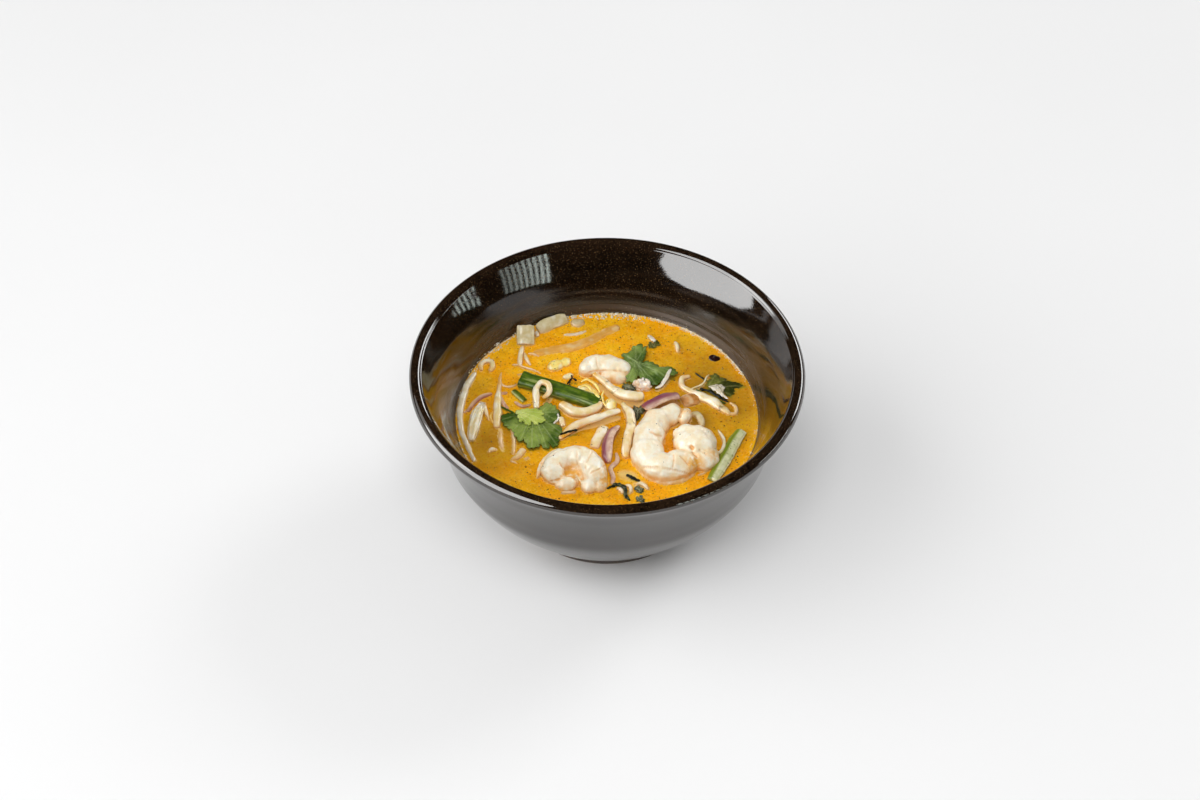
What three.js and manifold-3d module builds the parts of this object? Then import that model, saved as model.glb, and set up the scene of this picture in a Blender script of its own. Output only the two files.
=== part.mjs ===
// A bowl of tom yum soup: a glazed stoneware bowl, the broth in it, and the garnish that floats and
// lies heaped on the broth. Millimetres, +Z up, origin at the centre of the bowl's foot.
import * as THREE from 'three';
import { mergeVertices } from 'three/addons/utils/BufferGeometryUtils.js';
import Module from 'manifold-3d';

const wasm = await Module();
wasm.setup();

// ---- Driving dimensions ----

const gap = 0.32;                // clearance between neighbouring solids
const brothGap = 2.6 * gap;      // the broth stands off its garnish by this, so that a coarser cut is clear
const cutCoarseness = 1.8 * gap; // how far the broth's cut may leave the shape of the garnish
const rimRadius = 90;            // widest circle of the lip
const rimHeight = 83;            // height of that circle above the table
const crownHeight = 86;          // top of the lip
const headroom = 5;              // garnish keeps this far below the crown
const footRadius = 43;           // outer radius of the foot ring
const footHeight = 7;
const footRecess = 3.5;          // height of the underside inside the foot ring
const broadRadius = 76.3;        // belly of the wall, where it is steepest
const broadHeight = 50;
const soupLevel = 53.6;          // height of the broth's surface
const soupRadius = 69.35;        // inner radius of the wall at that height
const floorHeight = 10.5;        // inside floor of the bowl, on the axis

const bowlSides = 44;
const sproutSides = 6;
const prawnSides = 10;
const leafThickness = 0.7;

// ---- Small helpers ----

const above = ([x, y, height]) => new THREE.Vector3(x, y, soupLevel + height);
const smoothLine = (points) => new THREE.CatmullRomCurve3(points, false, 'centripetal');

// Keeps positions only, shares equal vertices and drops triangles that have lost their area.
function welded(geometry) {
  const bare = geometry.clone();
  bare.deleteAttribute('normal');
  bare.deleteAttribute('uv');
  const merged = mergeVertices(bare, 1e-3);
  const kept = [];
  for (let i = 0; i < merged.index.count; i += 3) {
    const [a, b, c] = [0, 1, 2].map((k) => merged.index.getX(i + k));
    if (a !== b && b !== c && c !== a) kept.push(a, b, c);
  }
  merged.setIndex(kept);
  return merged;
}

function moveVertices(geometry, move) {
  const positions = geometry.attributes.position;
  const vertex = new THREE.Vector3();
  for (let i = 0; i < positions.count; i += 1) {
    vertex.fromBufferAttribute(positions, i);
    const moved = move(vertex);
    positions.setXYZ(i, moved.x, moved.y, moved.z);
  }
  return geometry;
}

function toSolid(geometry) {
  const mesh = new wasm.Mesh({
    numProp: 3,
    vertProperties: new Float32Array(geometry.attributes.position.array),
    triVerts: new Uint32Array(geometry.index.array),
  });
  return new wasm.Manifold(mesh);
}

function toGeometry(solid) {
  const mesh = solid.getMesh();
  const geometry = new THREE.BufferGeometry();
  geometry.setAttribute('position', new THREE.BufferAttribute(mesh.vertProperties, 3));
  geometry.setIndex(new THREE.BufferAttribute(mesh.triVerts, 1));
  return welded(geometry);
}

// The largest connected piece of a cut solid.
function mainBody(solid) {
  const parts = solid.decompose();
  return parts.reduce((best, part) => (part.volume() > best.volume() ? part : best));
}

// The same closed surface with every face moved out by about the distance.
function grown(geometry, distance) {
  const corner = (k) => new THREE.Vector3().fromBufferAttribute(geometry.attributes.position, k);
  const faceNormals = Array.from({ length: geometry.attributes.position.count }, () => []);
  for (let i = 0; i < geometry.index.count; i += 3) {
    const keys = [0, 1, 2].map((k) => geometry.index.getX(i + k));
    const normal = new THREE.Triangle(...keys.map(corner)).getNormal(new THREE.Vector3());
    for (const key of keys) {
      if (faceNormals[key].every((known) => known.dot(normal) < 0.95)) faceNormals[key].push(normal);
    }
  }
  let vertexNumber = 0;
  return moveVertices(geometry.clone(), (vertex) => {
    const normals = faceNormals[vertexNumber];
    vertexNumber += 1;
    const outward = normals.reduce((sum, normal) => sum.add(normal), new THREE.Vector3()).normalize();
    const least = Math.min(...normals.map((normal) => normal.dot(outward)));
    return vertex.addScaledVector(outward, distance / Math.max(least, 0.4));
  });
}

// Directions across a path at u: side lies level, up is square to it and to the path.
function crossFrame(curve, u) {
  const along = curve.getTangentAt(Math.min(Math.max(u, 0), 1));
  const side = new THREE.Vector3(along.y, -along.x, 0).normalize();
  const up = new THREE.Vector3().crossVectors(side, along).normalize();
  return { side, up };
}

// Lays a form that was built along +Y, from y = 0 to 1, along a path. Its x runs to the path's side
// and its z up.
function laidAlong(geometry, curve) {
  return moveVertices(geometry, ({ x, y, z }) => {
    const { side, up } = crossFrame(curve, y);
    return curve.getPointAt(Math.min(Math.max(y, 0), 1)).addScaledVector(side, x).addScaledVector(up, z);
  });
}

// A round rod along a path. radiusAt(u) is its half width, flatness its height over its width.
function rod({ path, radiusAt, sides, steps, flatness = 1 }) {
  const curve = smoothLine(path.map(above));
  const form = welded(new THREE.CylinderGeometry(1, 1, 1, sides, steps));
  moveVertices(form, (vertex) => {
    const u = vertex.y + 0.5;
    const radius = radiusAt(u);
    return vertex.set(vertex.x * radius, u, vertex.z * radius * flatness);
  });
  return laidAlong(form, curve);
}

// Half width of a rod with rounded ends, through evenly spaced radii.
function roundedRadii(radii, startRound = 0.06, endRound = 0.06) {
  const ends = (u) => {
    const start = Math.min(u / startRound, 1);
    const end = Math.min((1 - u) / endRound, 1);
    return Math.sqrt(Math.max(1 - (1 - start) ** 2, 0.1)) * Math.sqrt(Math.max(1 - (1 - end) ** 2, 0.1));
  };
  return (u) => {
    const place = u * (radii.length - 1);
    const k = Math.min(Math.floor(place), radii.length - 2);
    return THREE.MathUtils.lerp(radii[k], radii[k + 1], place - k) * ends(u);
  };
}

// Gives an open sheet its thickness, downwards. Both faces have the same triangles.
function thickened(sheet, thickness) {
  const positions = Array.from(sheet.attributes.position.array);
  const top = Array.from(sheet.index.array);
  const count = positions.length / 3;
  const lower = positions.map((value, i) => (i % 3 === 2 ? value - thickness : value));
  const edges = new Map();
  for (let i = 0; i < top.length; i += 3) {
    for (let k = 0; k < 3; k += 1) {
      const [a, b] = [top[i + k], top[i + ((k + 1) % 3)]];
      if (!edges.delete(`${b},${a}`)) edges.set(`${a},${b}`, [a, b]);
    }
  }
  const faces = [...top];
  for (let i = 0; i < top.length; i += 3) {
    faces.push(top[i] + count, top[i + 2] + count, top[i + 1] + count);
  }
  for (const [a, b] of edges.values()) faces.push(a, a + count, b, b, a + count, b + count);
  const geometry = new THREE.BufferGeometry();
  geometry.setAttribute('position', new THREE.Float32BufferAttribute([...positions, ...lower], 3));
  geometry.setIndex(faces);
  return geometry;
}

// ---- Bowl and broth ----

// Points along an arc, for the round lip.
function arc(centreX, centreY, radius, fromDegrees, toDegrees, steps) {
  const points = [];
  for (let i = 0; i <= steps; i += 1) {
    const angle = THREE.MathUtils.degToRad(fromDegrees + ((toDegrees - fromDegrees) * i) / steps);
    points.push(new THREE.Vector2(centreX + radius * Math.cos(angle), centreY + radius * Math.sin(angle)));
  }
  return points;
}

function smoothProfile(points, steps) {
  return new THREE.SplineCurve(points.map(([r, z]) => new THREE.Vector2(r, z))).getPoints(steps);
}

// The inside of the wall, from the axis up to just under the lip. The broth follows it too.
const innerWall = [
  [0.5, floorHeight], [22, 12], [41, 20.5], [56, 34], [64.5, 45], [soupRadius, soupLevel],
  [73, 62], [78, 73.5], [rimRadius - 6, 83.6],
];

const insideProfile = smoothProfile(innerWall, 8);

function bowlGeometry() {
  const lipRadius = crownHeight - rimHeight;
  const foot = [[0, footRecess], [footRadius - 7, footRecess], [footRadius - 5, 0], [footRadius - 0.8, 0],
    [footRadius, 0.8], [footRadius + 0.6, footHeight]].map(([r, z]) => new THREE.Vector2(r, z));
  const wall = smoothProfile([
    [47.5, 8.5], [53.4, 14], [60.2, 22], [66.7, 30], [71.8, 38], [74.7, 44], [broadRadius, broadHeight],
    [78.4, 58], [81.6, 68], [85.2, 77.5], [88.6, 81.4],
  ], 9);
  const lip = arc(rimRadius - lipRadius, rimHeight, lipRadius, -10, 170, 4);
  const inside = [...insideProfile].reverse();
  inside.push(new THREE.Vector2(0, floorHeight));
  return new THREE.LatheGeometry([...foot, ...wall, ...lip, ...inside], bowlSides).rotateX(Math.PI / 2);
}

// The inside profile, moved off the wall and closed at the axis, up to a height.
function fillingGeometry(height) {
  const below = insideProfile.filter(({ y }) => y < height - 1);
  const next = insideProfile[below.length];
  const last = below[below.length - 1];
  below.push(last.clone().lerp(next, (height - gap - last.y) / (next.y - last.y)));
  const inset = below.map(({ x, y }) => new THREE.Vector2(Math.max(x - 1.4 * gap, 0.1), y + gap));
  const profile = [new THREE.Vector2(0, inset[0].y), ...inset, new THREE.Vector2(0, height)];
  return welded(new THREE.LatheGeometry(profile, bowlSides).rotateX(Math.PI / 2));
}

// ---- Prawns ----

// A peeled prawn curled on its side: head end first. Shallow steps mark its body segments.
function prawnBody({ path, radii, segments = 6, steps = 18, sides = prawnSides }) {
  const smooth = roundedRadii(radii, 0.09, 0.1);
  const radiusAt = (u) => smooth(u) * (1 + 0.06 * ((u * segments) % 1) - 0.03);
  return rod({ path, radiusAt, sides, steps, flatness: 0.92 });
}

// ---- Leaves ----

// Outline of a coriander leaf in polar form: lobes fanned round the stem's end, each with small teeth.
function corianderOutline(lobes, teeth, depth) {
  return (theta) => {
    const lobe = Math.abs(Math.cos((lobes * theta) / 2)) ** 0.8;
    const tooth = 1 + 0.06 * Math.cos(teeth * theta);
    return (1 - depth + depth * lobe) * tooth;
  };
}

function leaf({ centre, length, width, turn, lobes = 5, teeth = 20, depth = 0.35, wave = 0.8, lean = 0,
  segments = 34, rings = 2 }) {
  const outline = corianderOutline(lobes, teeth, depth);
  const sheet = welded(new THREE.RingGeometry(0, 1, segments, rings));
  const angle = THREE.MathUtils.degToRad(turn);
  moveVertices(sheet, ({ x, y }) => {
    const theta = Math.atan2(y, x);
    const reach = Math.hypot(x, y) * outline(theta);
    const u = reach * Math.cos(theta);
    const v = reach * Math.sin(theta);
    const lift = wave * (Math.sin(3.1 * u + 1.7 * v) + 0.7 * Math.cos(4.3 * v - 1.1)) + lean * v;
    const along = (u * length) / 2;
    const across = (v * width) / 2;
    return above([
      centre[0] + along * Math.cos(angle) - across * Math.sin(angle),
      centre[1] + along * Math.sin(angle) + across * Math.cos(angle),
      centre[2] + lift,
    ]);
  });
  return thickened(sheet, leafThickness);
}

// A strip or petal along a path: width across, bow the rise of its middle over its edges, and a
// taper of the width to both ends.
function strip({ path, width, thickness, bow = 0, taper = 0.5, tilt = 0, steps = 8, across = 2 }) {
  const curve = smoothLine(path.map(above));
  const sheet = welded(new THREE.PlaneGeometry(1, 1, across, steps));
  const lean = THREE.MathUtils.degToRad(tilt);
  moveVertices(sheet, ({ x, y }) => {
    const u = y + 0.5;
    const narrowing = 1 - taper * Math.abs(2 * u - 1) ** 3;
    const offset = x * width * narrowing;
    const rise = bow * (1 - (2 * x) ** 2) * narrowing;
    const place = curve.getPointAt(u).addScaledVector(crossFrame(curve, u).side, offset * Math.cos(lean));
    place.z += rise + offset * Math.sin(lean);
    return place;
  });
  return thickened(sheet, thickness);
}

// ---- Sprouts, seeds and crumbs ----

function sprout({ path, radii, steps = 10, flatness = 1, sides = sproutSides }) {
  return rod({ path, radiusAt: roundedRadii(radii, 0.05, 0.05), sides, steps, flatness });
}

// An egg-shaped bit: half lengths along, across and up, turned about Z.
function egg({ centre, half, turn = 0, columns = 8, rows = 5 }) {
  const form = new THREE.SphereGeometry(1, columns, rows).rotateX(Math.PI / 2);
  form.scale(...half).rotateZ(THREE.MathUtils.degToRad(turn));
  const place = above(centre);
  return welded(form.translate(place.x, place.y, place.z));
}

// A crumbly lump: an egg whose surface is pushed in and out by crossing waves.
function lump({ centre, half, turn = 0, roughness = 0.16 }) {
  const form = welded(new THREE.IcosahedronGeometry(1, 1));
  const angle = THREE.MathUtils.degToRad(turn);
  return moveVertices(form, (vertex) => {
    const crags = Math.sin(7 * vertex.x + 2) * Math.cos(6 * vertex.y) + 0.6 * Math.sin(8 * vertex.z + 1);
    const push = 1 + roughness * crags;
    const along = vertex.x * half[0] * push;
    const across = vertex.y * half[1] * push;
    return above([
      centre[0] + along * Math.cos(angle) - across * Math.sin(angle),
      centre[1] + along * Math.sin(angle) + across * Math.cos(angle),
      centre[2] + vertex.z * half[2] * push,
    ]);
  });
}

// ---- Finishes ----

const finish = {
  glaze: { color: 0x1d1712, roughness: 0.12, metalness: 0 },
  broth: { color: 0xdb9512, roughness: 0.25, metalness: 0 },
  prawn: { color: 0xf6d9c4, roughness: 0.35, metalness: 0 },
  corianderDark: { color: 0x2f6b2a, roughness: 0.5, metalness: 0 },
  corianderLight: { color: 0x7fae4a, roughness: 0.5, metalness: 0 },
  scallion: { color: 0x2c6a1c, roughness: 0.3, metalness: 0 },
  purpleOnion: { color: 0x9a5a70, roughness: 0.3, metalness: 0 },
  clearOnion: { color: 0xe0cfa0, roughness: 0.3, metalness: 0 },
  sprout: { color: 0xf0e0b4, roughness: 0.35, metalness: 0 },
  seed: { color: 0xf1cf55, roughness: 0.4, metalness: 0 },
  herb: { color: 0x3a4526, roughness: 0.6, metalness: 0 },
  chilli: { color: 0x2b0d0a, roughness: 0.3, metalness: 0 },
};

function node(name, look, geometry) {
  const mesh = new THREE.Mesh(geometry, new THREE.MeshStandardMaterial(finish[look]));
  mesh.name = name;
  return mesh;
}

function fused(...geometries) {
  return toGeometry(geometries.map(toSolid).reduce((whole, part) => whole.add(part)));
}

// ---- Garnish, from the top of the heap down. Places are [x, y, height above the broth]. ----

function prawnRight() {
  const body = prawnBody({
    path: [[38.5, -27, 2.8], [32.2, -33.2, 2.4], [25.9, -35, 2.2], [20.5, -31.4, 2.4], [18.3, -23.6, 2.8],
      [19.7, -13.6, 3], [23, -5.8, 3], [28.1, -1.4, 2.8], [33.2, 1.6, 2.2], [36.6, 0.6, 1.2]],
    radii: [6.4, 7.3, 7.2, 7.2, 7.3, 7, 6, 4.6, 2.6],
    steps: 20,
  });
  const headEnd = egg({ centre: [39.7, -19.8, 3.6], half: [9.3, 9.8, 8.2], columns: 14, rows: 8 });
  const slitEdge = sprout({
    path: [[13.9, -31.3, 0.3], [18.6, -37.7, 0.2], [26.3, -40.6, 0.2], [34, -39.4, 0.3], [40, -36.1, 0.2]],
    radii: [1.2, 2.2, 2.4, 2.2, 0.9],
    flatness: 0.6,
  });
  return fused(body, headEnd, slitEdge);
}

function prawnLeft() {
  const body = prawnBody({
    path: [[-22.4, -43.7, 1.2], [-24.8, -36.8, 2.2], [-21.7, -31, 2.8], [-15.3, -29.2, 3.2], [-9, -31.5, 3],
      [-5.8, -37.9, 2.4], [-5.7, -45.3, 1]],
    radii: [3.2, 4.6, 5.4, 5.9, 6.1, 5.8, 4.2],
    segments: 5,
    steps: 14,
  });
  const legRidge = sprout({
    path: [[-20.4, -25.2, 5], [-25.8, -27.8, 3.9], [-29.3, -31.6, 2], [-31.7, -40.2, 0.3]],
    radii: [1.2, 1.4, 1.2, 0.6],
    steps: 6,
  });
  const tailLobe = egg({ centre: [-18.2, -43.8, 1.4], half: [4.6, 3.6, 2.6], turn: 8 });
  return fused(body, legRidge, tailLobe);
}

function prawnBack() {
  const body = prawnBody({
    path: [[-11.3, 31.2, 1.2], [-6, 31.7, 2.2], [0, 31.6, 2.4], [6.1, 30.2, 1.8], [10.8, 27.1, 1]],
    radii: [3.6, 5, 5.2, 4.8, 3.4],
    segments: 3,
    steps: 10,
    sides: 8,
  });
  const lobe = egg({ centre: [3.4, 25.2, 0.8], half: [6.4, 3.4, 3.2], turn: -8 });
  return fused(body, lobe);
}

// A scallion leaf cut across: a flattened tube, open right through.
function scallionTube() {
  const path = [[-39.8, 22.7, 1.9], [-28.8, 18.1, 2.2], [-16.7, 13, 2.2], [-3.6, 7.4, 1.4]];
  const [outer, wall] = [3.5, 0.9];
  const section = [[outer, 0], [outer, 0.25], [outer, 0.5], [outer, 0.75], [outer, 1], [outer - wall, 1],
    [outer - wall, 0.5], [outer - wall, 0], [outer, 0]];
  const form = welded(new THREE.LatheGeometry(section.map(([r, y]) => new THREE.Vector2(r, y)), 12));
  form.scale(1, 1, 0.72);
  return laidAlong(form, smoothLine(path.map(above)));
}

const yellowHead = (centre, half, turn) => egg({ centre, half, turn, columns: 7, rows: 5 });

// A bean's two halves, just open.
function openBean() {
  return fused(
    yellowHead([-24.2, 33.3, 0.9], [4.4, 3, 2], 30),
    yellowHead([-19.4, 35.7, 0.8], [2.8, 2.4, 1.7], 60),
  );
}

function budPair() {
  return fused(
    yellowHead([-10.7, 15.6, 2.2], [3.4, 2, 1.7], -30),
    yellowHead([-5.9, 12.6, 2.4], [3.4, 2, 1.8], -55),
  );
}

function hookedSprout() {
  const stem = sprout({
    path: [[38.8, 26.8, 0.8], [35, 24.6, 1], [35.1, 19.9, 1], [38.6, 16.6, 1], [42.2, 14, 1],
      [48, 10.2, 0.9], [53.2, 5.4, 0.8], [57, 1.6, 0.5]],
    radii: [1, 1.4, 1.3, 1.5, 2, 2.2, 1.8, 1],
    steps: 14,
  });
  const rootTail = sprout({
    path: [[55.9, 2.4, 0.4], [59.1, 2.3, 0.5], [59.7, 6, 0.6], [57, 9.6, 0.4]],
    radii: [0.9, 0.9, 0.8, 0.5],
    steps: 6,
  });
  return fused(stem, rootTail);
}

// Tops of the heap come first: each piece is cut clear of those before it.
const garnish = [
  node('sprout_loop', 'sprout', sprout({
    path: [[-32.5, 2.6, 3], [-32.6, 8.2, 4], [-32.7, 13.4, 5.2], [-30.6, 16.3, 6.4], [-27.4, 14.8, 6.5],
      [-26.8, 11.2, 5.6], [-28.4, 8.6, 5], [-30, 7.9, 4.7]],
    radii: [1.3, 1.4, 1.5, 1.5, 1.5, 1.4, 1.3, 1.1],
    steps: 16,
  })),
  node('sprout_crown', 'sprout', sprout({
    path: [[-6.5, 22.4, 6.4], [-1.4, 18.4, 5.4], [3.2, 13.3, 4.6], [8.3, 10.4, 4.4], [13.9, 9.3, 4.4],
      [17, 9.6, 4.4]],
    radii: [1.2, 1.4, 1.7, 2.1, 2.3, 2],
  })),
  node('onion_purple_top', 'purpleOnion', strip({
    path: [[16.9, 1.9, 4], [23.1, 6, 4.8], [28.2, 8.9, 4.7], [32.6, 10.4, 3.9]],
    width: 6.4, thickness: 1.8, bow: 1.3, taper: 0.15, tilt: 18,
  })),
  node('sprout_ridge', 'sprout', sprout({
    path: [[7.2, 7.1, 2], [10.4, -0.3, 3.6], [11.2, -7.5, 3.8], [9.8, -14.5, 3], [8.7, -21.2, 2],
      [8.7, -27, 0.8]],
    radii: [1.2, 1.9, 2.2, 2.1, 2, 1.6],
    flatness: 0.8,
  })),
  node('sprout_long', 'sprout', sprout({
    path: [[6, 0.3, 4.2], [-0.9, -3, 4.4], [-6.9, -5.2, 3.8], [-12.8, -7.1, 2.8], [-18.3, -11.4, 1.8],
      [-21.9, -15.1, 0.9]],
    radii: [1.3, 1.6, 1.7, 1.6, 1.8, 1.1],
  })),
  node('coriander_left_upper', 'corianderLight', leaf({
    centre: [-34.6, -0.6, 2.8], length: 15, width: 10, turn: -8, lobes: 3, teeth: 14, depth: 0.25,
    wave: 0.4, lean: 0.4, segments: 28, rings: 2,
  })),
  node('prawn_right', 'prawn', prawnRight()),
  node('prawn_left', 'prawn', prawnLeft()),
  node('coriander_right', 'corianderDark', leaf({
    centre: [18.6, 32.4, 2.7], length: 30, width: 25, turn: -20, lobes: 5, teeth: 20, depth: 0.4, wave: 0.7,
  })),
  node('prawn_back', 'prawn', prawnBack()),
  node('coriander_left', 'corianderDark', leaf({
    centre: [-34.4, -7.2, 1.3], length: 27, width: 26, turn: 100, lobes: 5, teeth: 20, depth: 0.3,
    wave: 0.6,
  })),
  node('scallion_tube', 'scallion', scallionTube()),
  node('sprout_curved', 'sprout', sprout({
    path: [[-21.4, 7.2, 1.6], [-16.1, 2.2, 2], [-9.9, 1.2, 2.3], [-4.6, 4.2, 2.5], [-2.7, 7, 2.5]],
    radii: [1.8, 2.1, 2.2, 2, 1.4],
    steps: 12,
  })),
  node('crumb', 'clearOnion', lump({ centre: [16.4, 19.8, 1.6], half: [4.6, 3.4, 2.6], turn: -15 })),
  node('bud_pair', 'seed', budPair()),
  node('bud_round', 'seed', yellowHead([1.7, 6.6, 1.4], [2.8, 3.2, 2], 10)),
  node('herb_mid', 'herb', leaf({
    centre: [14.9, 0.9, 0.9], length: 8, width: 9, turn: 60, lobes: 4, teeth: 12, depth: 0.3, wave: 0.5,
    segments: 12, rings: 2,
  })),
  node('herb_back', 'herb', leaf({
    centre: [9.6, 18.3, 1.2], length: 7, width: 5, turn: 10, lobes: 3, teeth: 12, depth: 0.3, wave: 0.4,
    segments: 12, rings: 2,
  })),
  node('onion_front', 'purpleOnion', strip({
    path: [[5.2, -7.4, 1.7], [1.7, -12.5, 2], [0.2, -20.3, 1.8], [0.4, -30, 0.9]],
    width: 5, thickness: 1.8, bow: 0.7, taper: 0.5, tilt: -20,
  })),
  node('sprout_short', 'sprout', sprout({
    path: [[-1.4, -7, 0.7], [-2.7, -10.9, 0.7], [-5, -16.8, 0.6], [-5.9, -20.4, 0.4]],
    radii: [2, 2, 1.9, 1.4],
    steps: 8,
  })),
  node('onion_front_ribbon', 'purpleOnion', strip({
    path: [[4.2, -23.4, 0.6], [4.7, -28.9, 0.7], [1.8, -33.4, 0.7], [2.8, -38.8, 0.6], [2.4, -43, 0.3]],
    width: 2.2, thickness: 1.2, taper: 0.4, steps: 10, across: 1,
  })),
  node('scallion_small', 'scallion', strip({
    path: [[-43.6, 16.7, 0.5], [-40.8, 13.2, 0.6], [-38, 9.7, 0.6]],
    width: 3, thickness: 1, bow: 0.4, taper: 0.1, steps: 4,
  })),
  node('scallion_split', 'scallion', strip({
    path: [[62, -9.2, 0.9], [58.6, -15.6, 0.9], [54.7, -25.2, 0.9], [47.5, -41, 0.9]],
    width: 7, thickness: 1.3, bow: 0.9, taper: 0.2, steps: 10,
  })),
  node('sprout_hooked', 'sprout', hookedSprout()),
  node('coriander_side', 'corianderDark', leaf({
    centre: [54.4, 21.6, 0.5], length: 21, width: 9, turn: -16, lobes: 3, teeth: 12, depth: 0.3, wave: 0.4,
    segments: 24, rings: 2,
  })),
  node('coriander_back', 'corianderDark', leaf({
    centre: [22.4, 48.9, 0.6], length: 7, width: 6, turn: 20, lobes: 4, teeth: 12, depth: 0.35, wave: 0.4,
    segments: 16, rings: 1,
  })),
  node('onion_orange', 'clearOnion', strip({
    path: [[36, 9.4, 0.4], [38.6, 11, 0.6], [42, 12, 0.4]],
    width: 6, thickness: 1.4, bow: 0.6, taper: 0.3, steps: 4,
  })),
  node('sprout_stub', 'sprout', sprout({
    path: [[39, 2.6, 0.5], [42, 0.9, 0.8], [43.6, -3.6, 0.5], [43.4, -7, 0.1]],
    radii: [1.4, 1.8, 1.8, 1.4],
    steps: 8,
  })),
  node('onion_left_petal', 'clearOnion', strip({
    path: [[-58.1, 8.5, 0.8], [-59.9, 1.5, 1], [-61.2, -6.9, 0.9], [-62, -16.2, 0.5]],
    width: 5.2, thickness: 1.6, bow: 0.7, taper: 0.5,
  })),
  node('onion_left_arc', 'purpleOnion', strip({
    path: [[-64.3, 2.7, 0.4], [-61.9, 7.9, 0.5], [-58.3, 12.4, 0.5], [-53.4, 14.6, 0.4]],
    width: 1.8, thickness: 1.2, taper: 0.4, across: 1,
  })),
  node('sprout_upright', 'sprout', sprout({
    path: [[-49.8, 27.2, 0.3], [-50.2, 18.2, 0.6], [-50.5, 8.7, 0.8], [-50.5, -0.3, 0.7], [-50.5, -8, 0.4]],
    radii: [0.7, 0.9, 1.2, 1.5, 1.2],
  })),
  node('sprout_tail_hook', 'sprout', sprout({
    path: [[-38.2, -21.6, 0.4], [-39.3, -24.2, 0.4], [-41.2, -26.8, 0.4], [-43.6, -27.8, 0.3]],
    radii: [1.6, 1.6, 1.3, 0.9],
    steps: 8,
  })),
  node('sprout_edge', 'sprout', sprout({
    path: [[-61, 28.2, 0.7], [-64.9, 18.4, 0.7], [-66.7, 8.7, 0.6], [-67.1, -0.8, 0.5], [-65.9, -10.3, 0.5],
      [-62.9, -19.2, 0.4], [-59.6, -29, 0.2]],
    radii: [1, 1.3, 1.3, 1.3, 1.3, 1.2, 0.8],
    steps: 12,
  })),
  node('sprout_wall', 'sprout', sprout({
    path: [[-58.6, 29.8, 0.4], [-59, 33.2, 0.8], [-56.8, 35.3, 1], [-55, 33.1, 0.8], [-55.6, 30, 0.3]],
    radii: [1.2, 1.5, 1.5, 1.5, 1.1],
    steps: 9,
  })),
  node('onion_chunk_tall', 'clearOnion', strip({
    path: [[-38.6, 47.6, 0.3], [-38.6, 51.6, 1.9], [-38.8, 55.6, 3.6]],
    width: 8.4, thickness: 1.9, bow: 0.8, taper: 0.1, steps: 4,
  })),
  node('onion_chunk_wide', 'clearOnion', strip({
    path: [[-32, 57.4, 0.9], [-26, 61.4, 1.3], [-19.6, 64.3, 1]],
    width: 6, thickness: 1.6, bow: 0.8, taper: 0.35, tilt: -22, steps: 6,
  })),
  node('onion_chunk_round', 'clearOnion', egg({ centre: [-13.9, 63, 0], half: [3.2, 3, 1.7] })),
  node('onion_long', 'clearOnion', strip({
    path: [[5.4, 60.6, 0.4], [-1.5, 56, 0.5], [-9.5, 50, 0.5], [-18, 45.7, 0.5], [-26.4, 44, 0.4],
      [-34.6, 41.6, 0.3]],
    width: 4.6, thickness: 1.4, bow: 0.5, taper: 0.35, steps: 10,
  })),
  node('sprout_cluster', 'sprout', sprout({
    path: [[-39.2, 44.6, 0.6], [-40, 38.6, 0.9], [-40.2, 33, 0.5]],
    radii: [1.4, 1.6, 1.1],
    steps: 8,
  })),
  node('bean_open', 'seed', openBean()),
  node('bud_side', 'seed', yellowHead([-18.2, 26.5, 0.3], [2.6, 1.8, 1.3], 15)),
  node('herb_front_curl', 'herb', strip({
    path: [[0.9, -46.3, 0.5], [3.9, -44.9, 0.6], [6.6, -44.6, 0.6], [8.4, -46.9, 0.6], [9.1, -50.3, 0.5],
      [10.4, -53, 0.3]],
    width: 2.4, thickness: 0.8, taper: 0.4, steps: 10, across: 1,
  })),
  node('herb_front_clump', 'herb', leaf({
    centre: [14.9, -47.4, 0.5], length: 6, width: 6.4, turn: 30, lobes: 4, teeth: 10, depth: 0.3, wave: 0.3,
    segments: 12, rings: 1,
  })),
  node('chilli_flake', 'chilli', egg({ centre: [50.5, 39.4, 0.1], half: [2.7, 2, 0.8], turn: -10 })),
];

// ---- Assembly ----

// Whether two bounding boxes meet.
const reaches = (a, b) => a.min.every((low, k) => low < b.max[k]);
const touching = (a, b) => reaches(a, b) && reaches(b, a);

// The room inside the bowl, which every floating piece keeps to.
const cavity = toSolid(fillingGeometry(crownHeight - headroom));
const placed = [];
let brothSolid = toSolid(fillingGeometry(soupLevel));
for (const piece of garnish) {
  let solid = toSolid(piece.geometry).intersect(cavity);
  for (const upper of placed) {
    if (touching(solid.boundingBox(), upper.boundingBox())) solid = solid.subtract(upper);
  }
  piece.geometry = toGeometry(mainBody(solid));
  placed.push(toSolid(grown(piece.geometry, gap)));
  brothSolid = brothSolid.subtract(toSolid(grown(piece.geometry, brothGap)).simplify(cutCoarseness));
}

const soup = new THREE.Group();
soup.add(node('bowl', 'glaze', welded(bowlGeometry())));
soup.add(node('broth', 'broth', toGeometry(mainBody(brothSolid))));
garnish.forEach((piece) => soup.add(piece));

export default soup;
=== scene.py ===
import math
import random

import bmesh
import bpy
from mathutils import Euler, Matrix, Vector, noise
from mathutils.bvhtree import BVHTree


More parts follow.
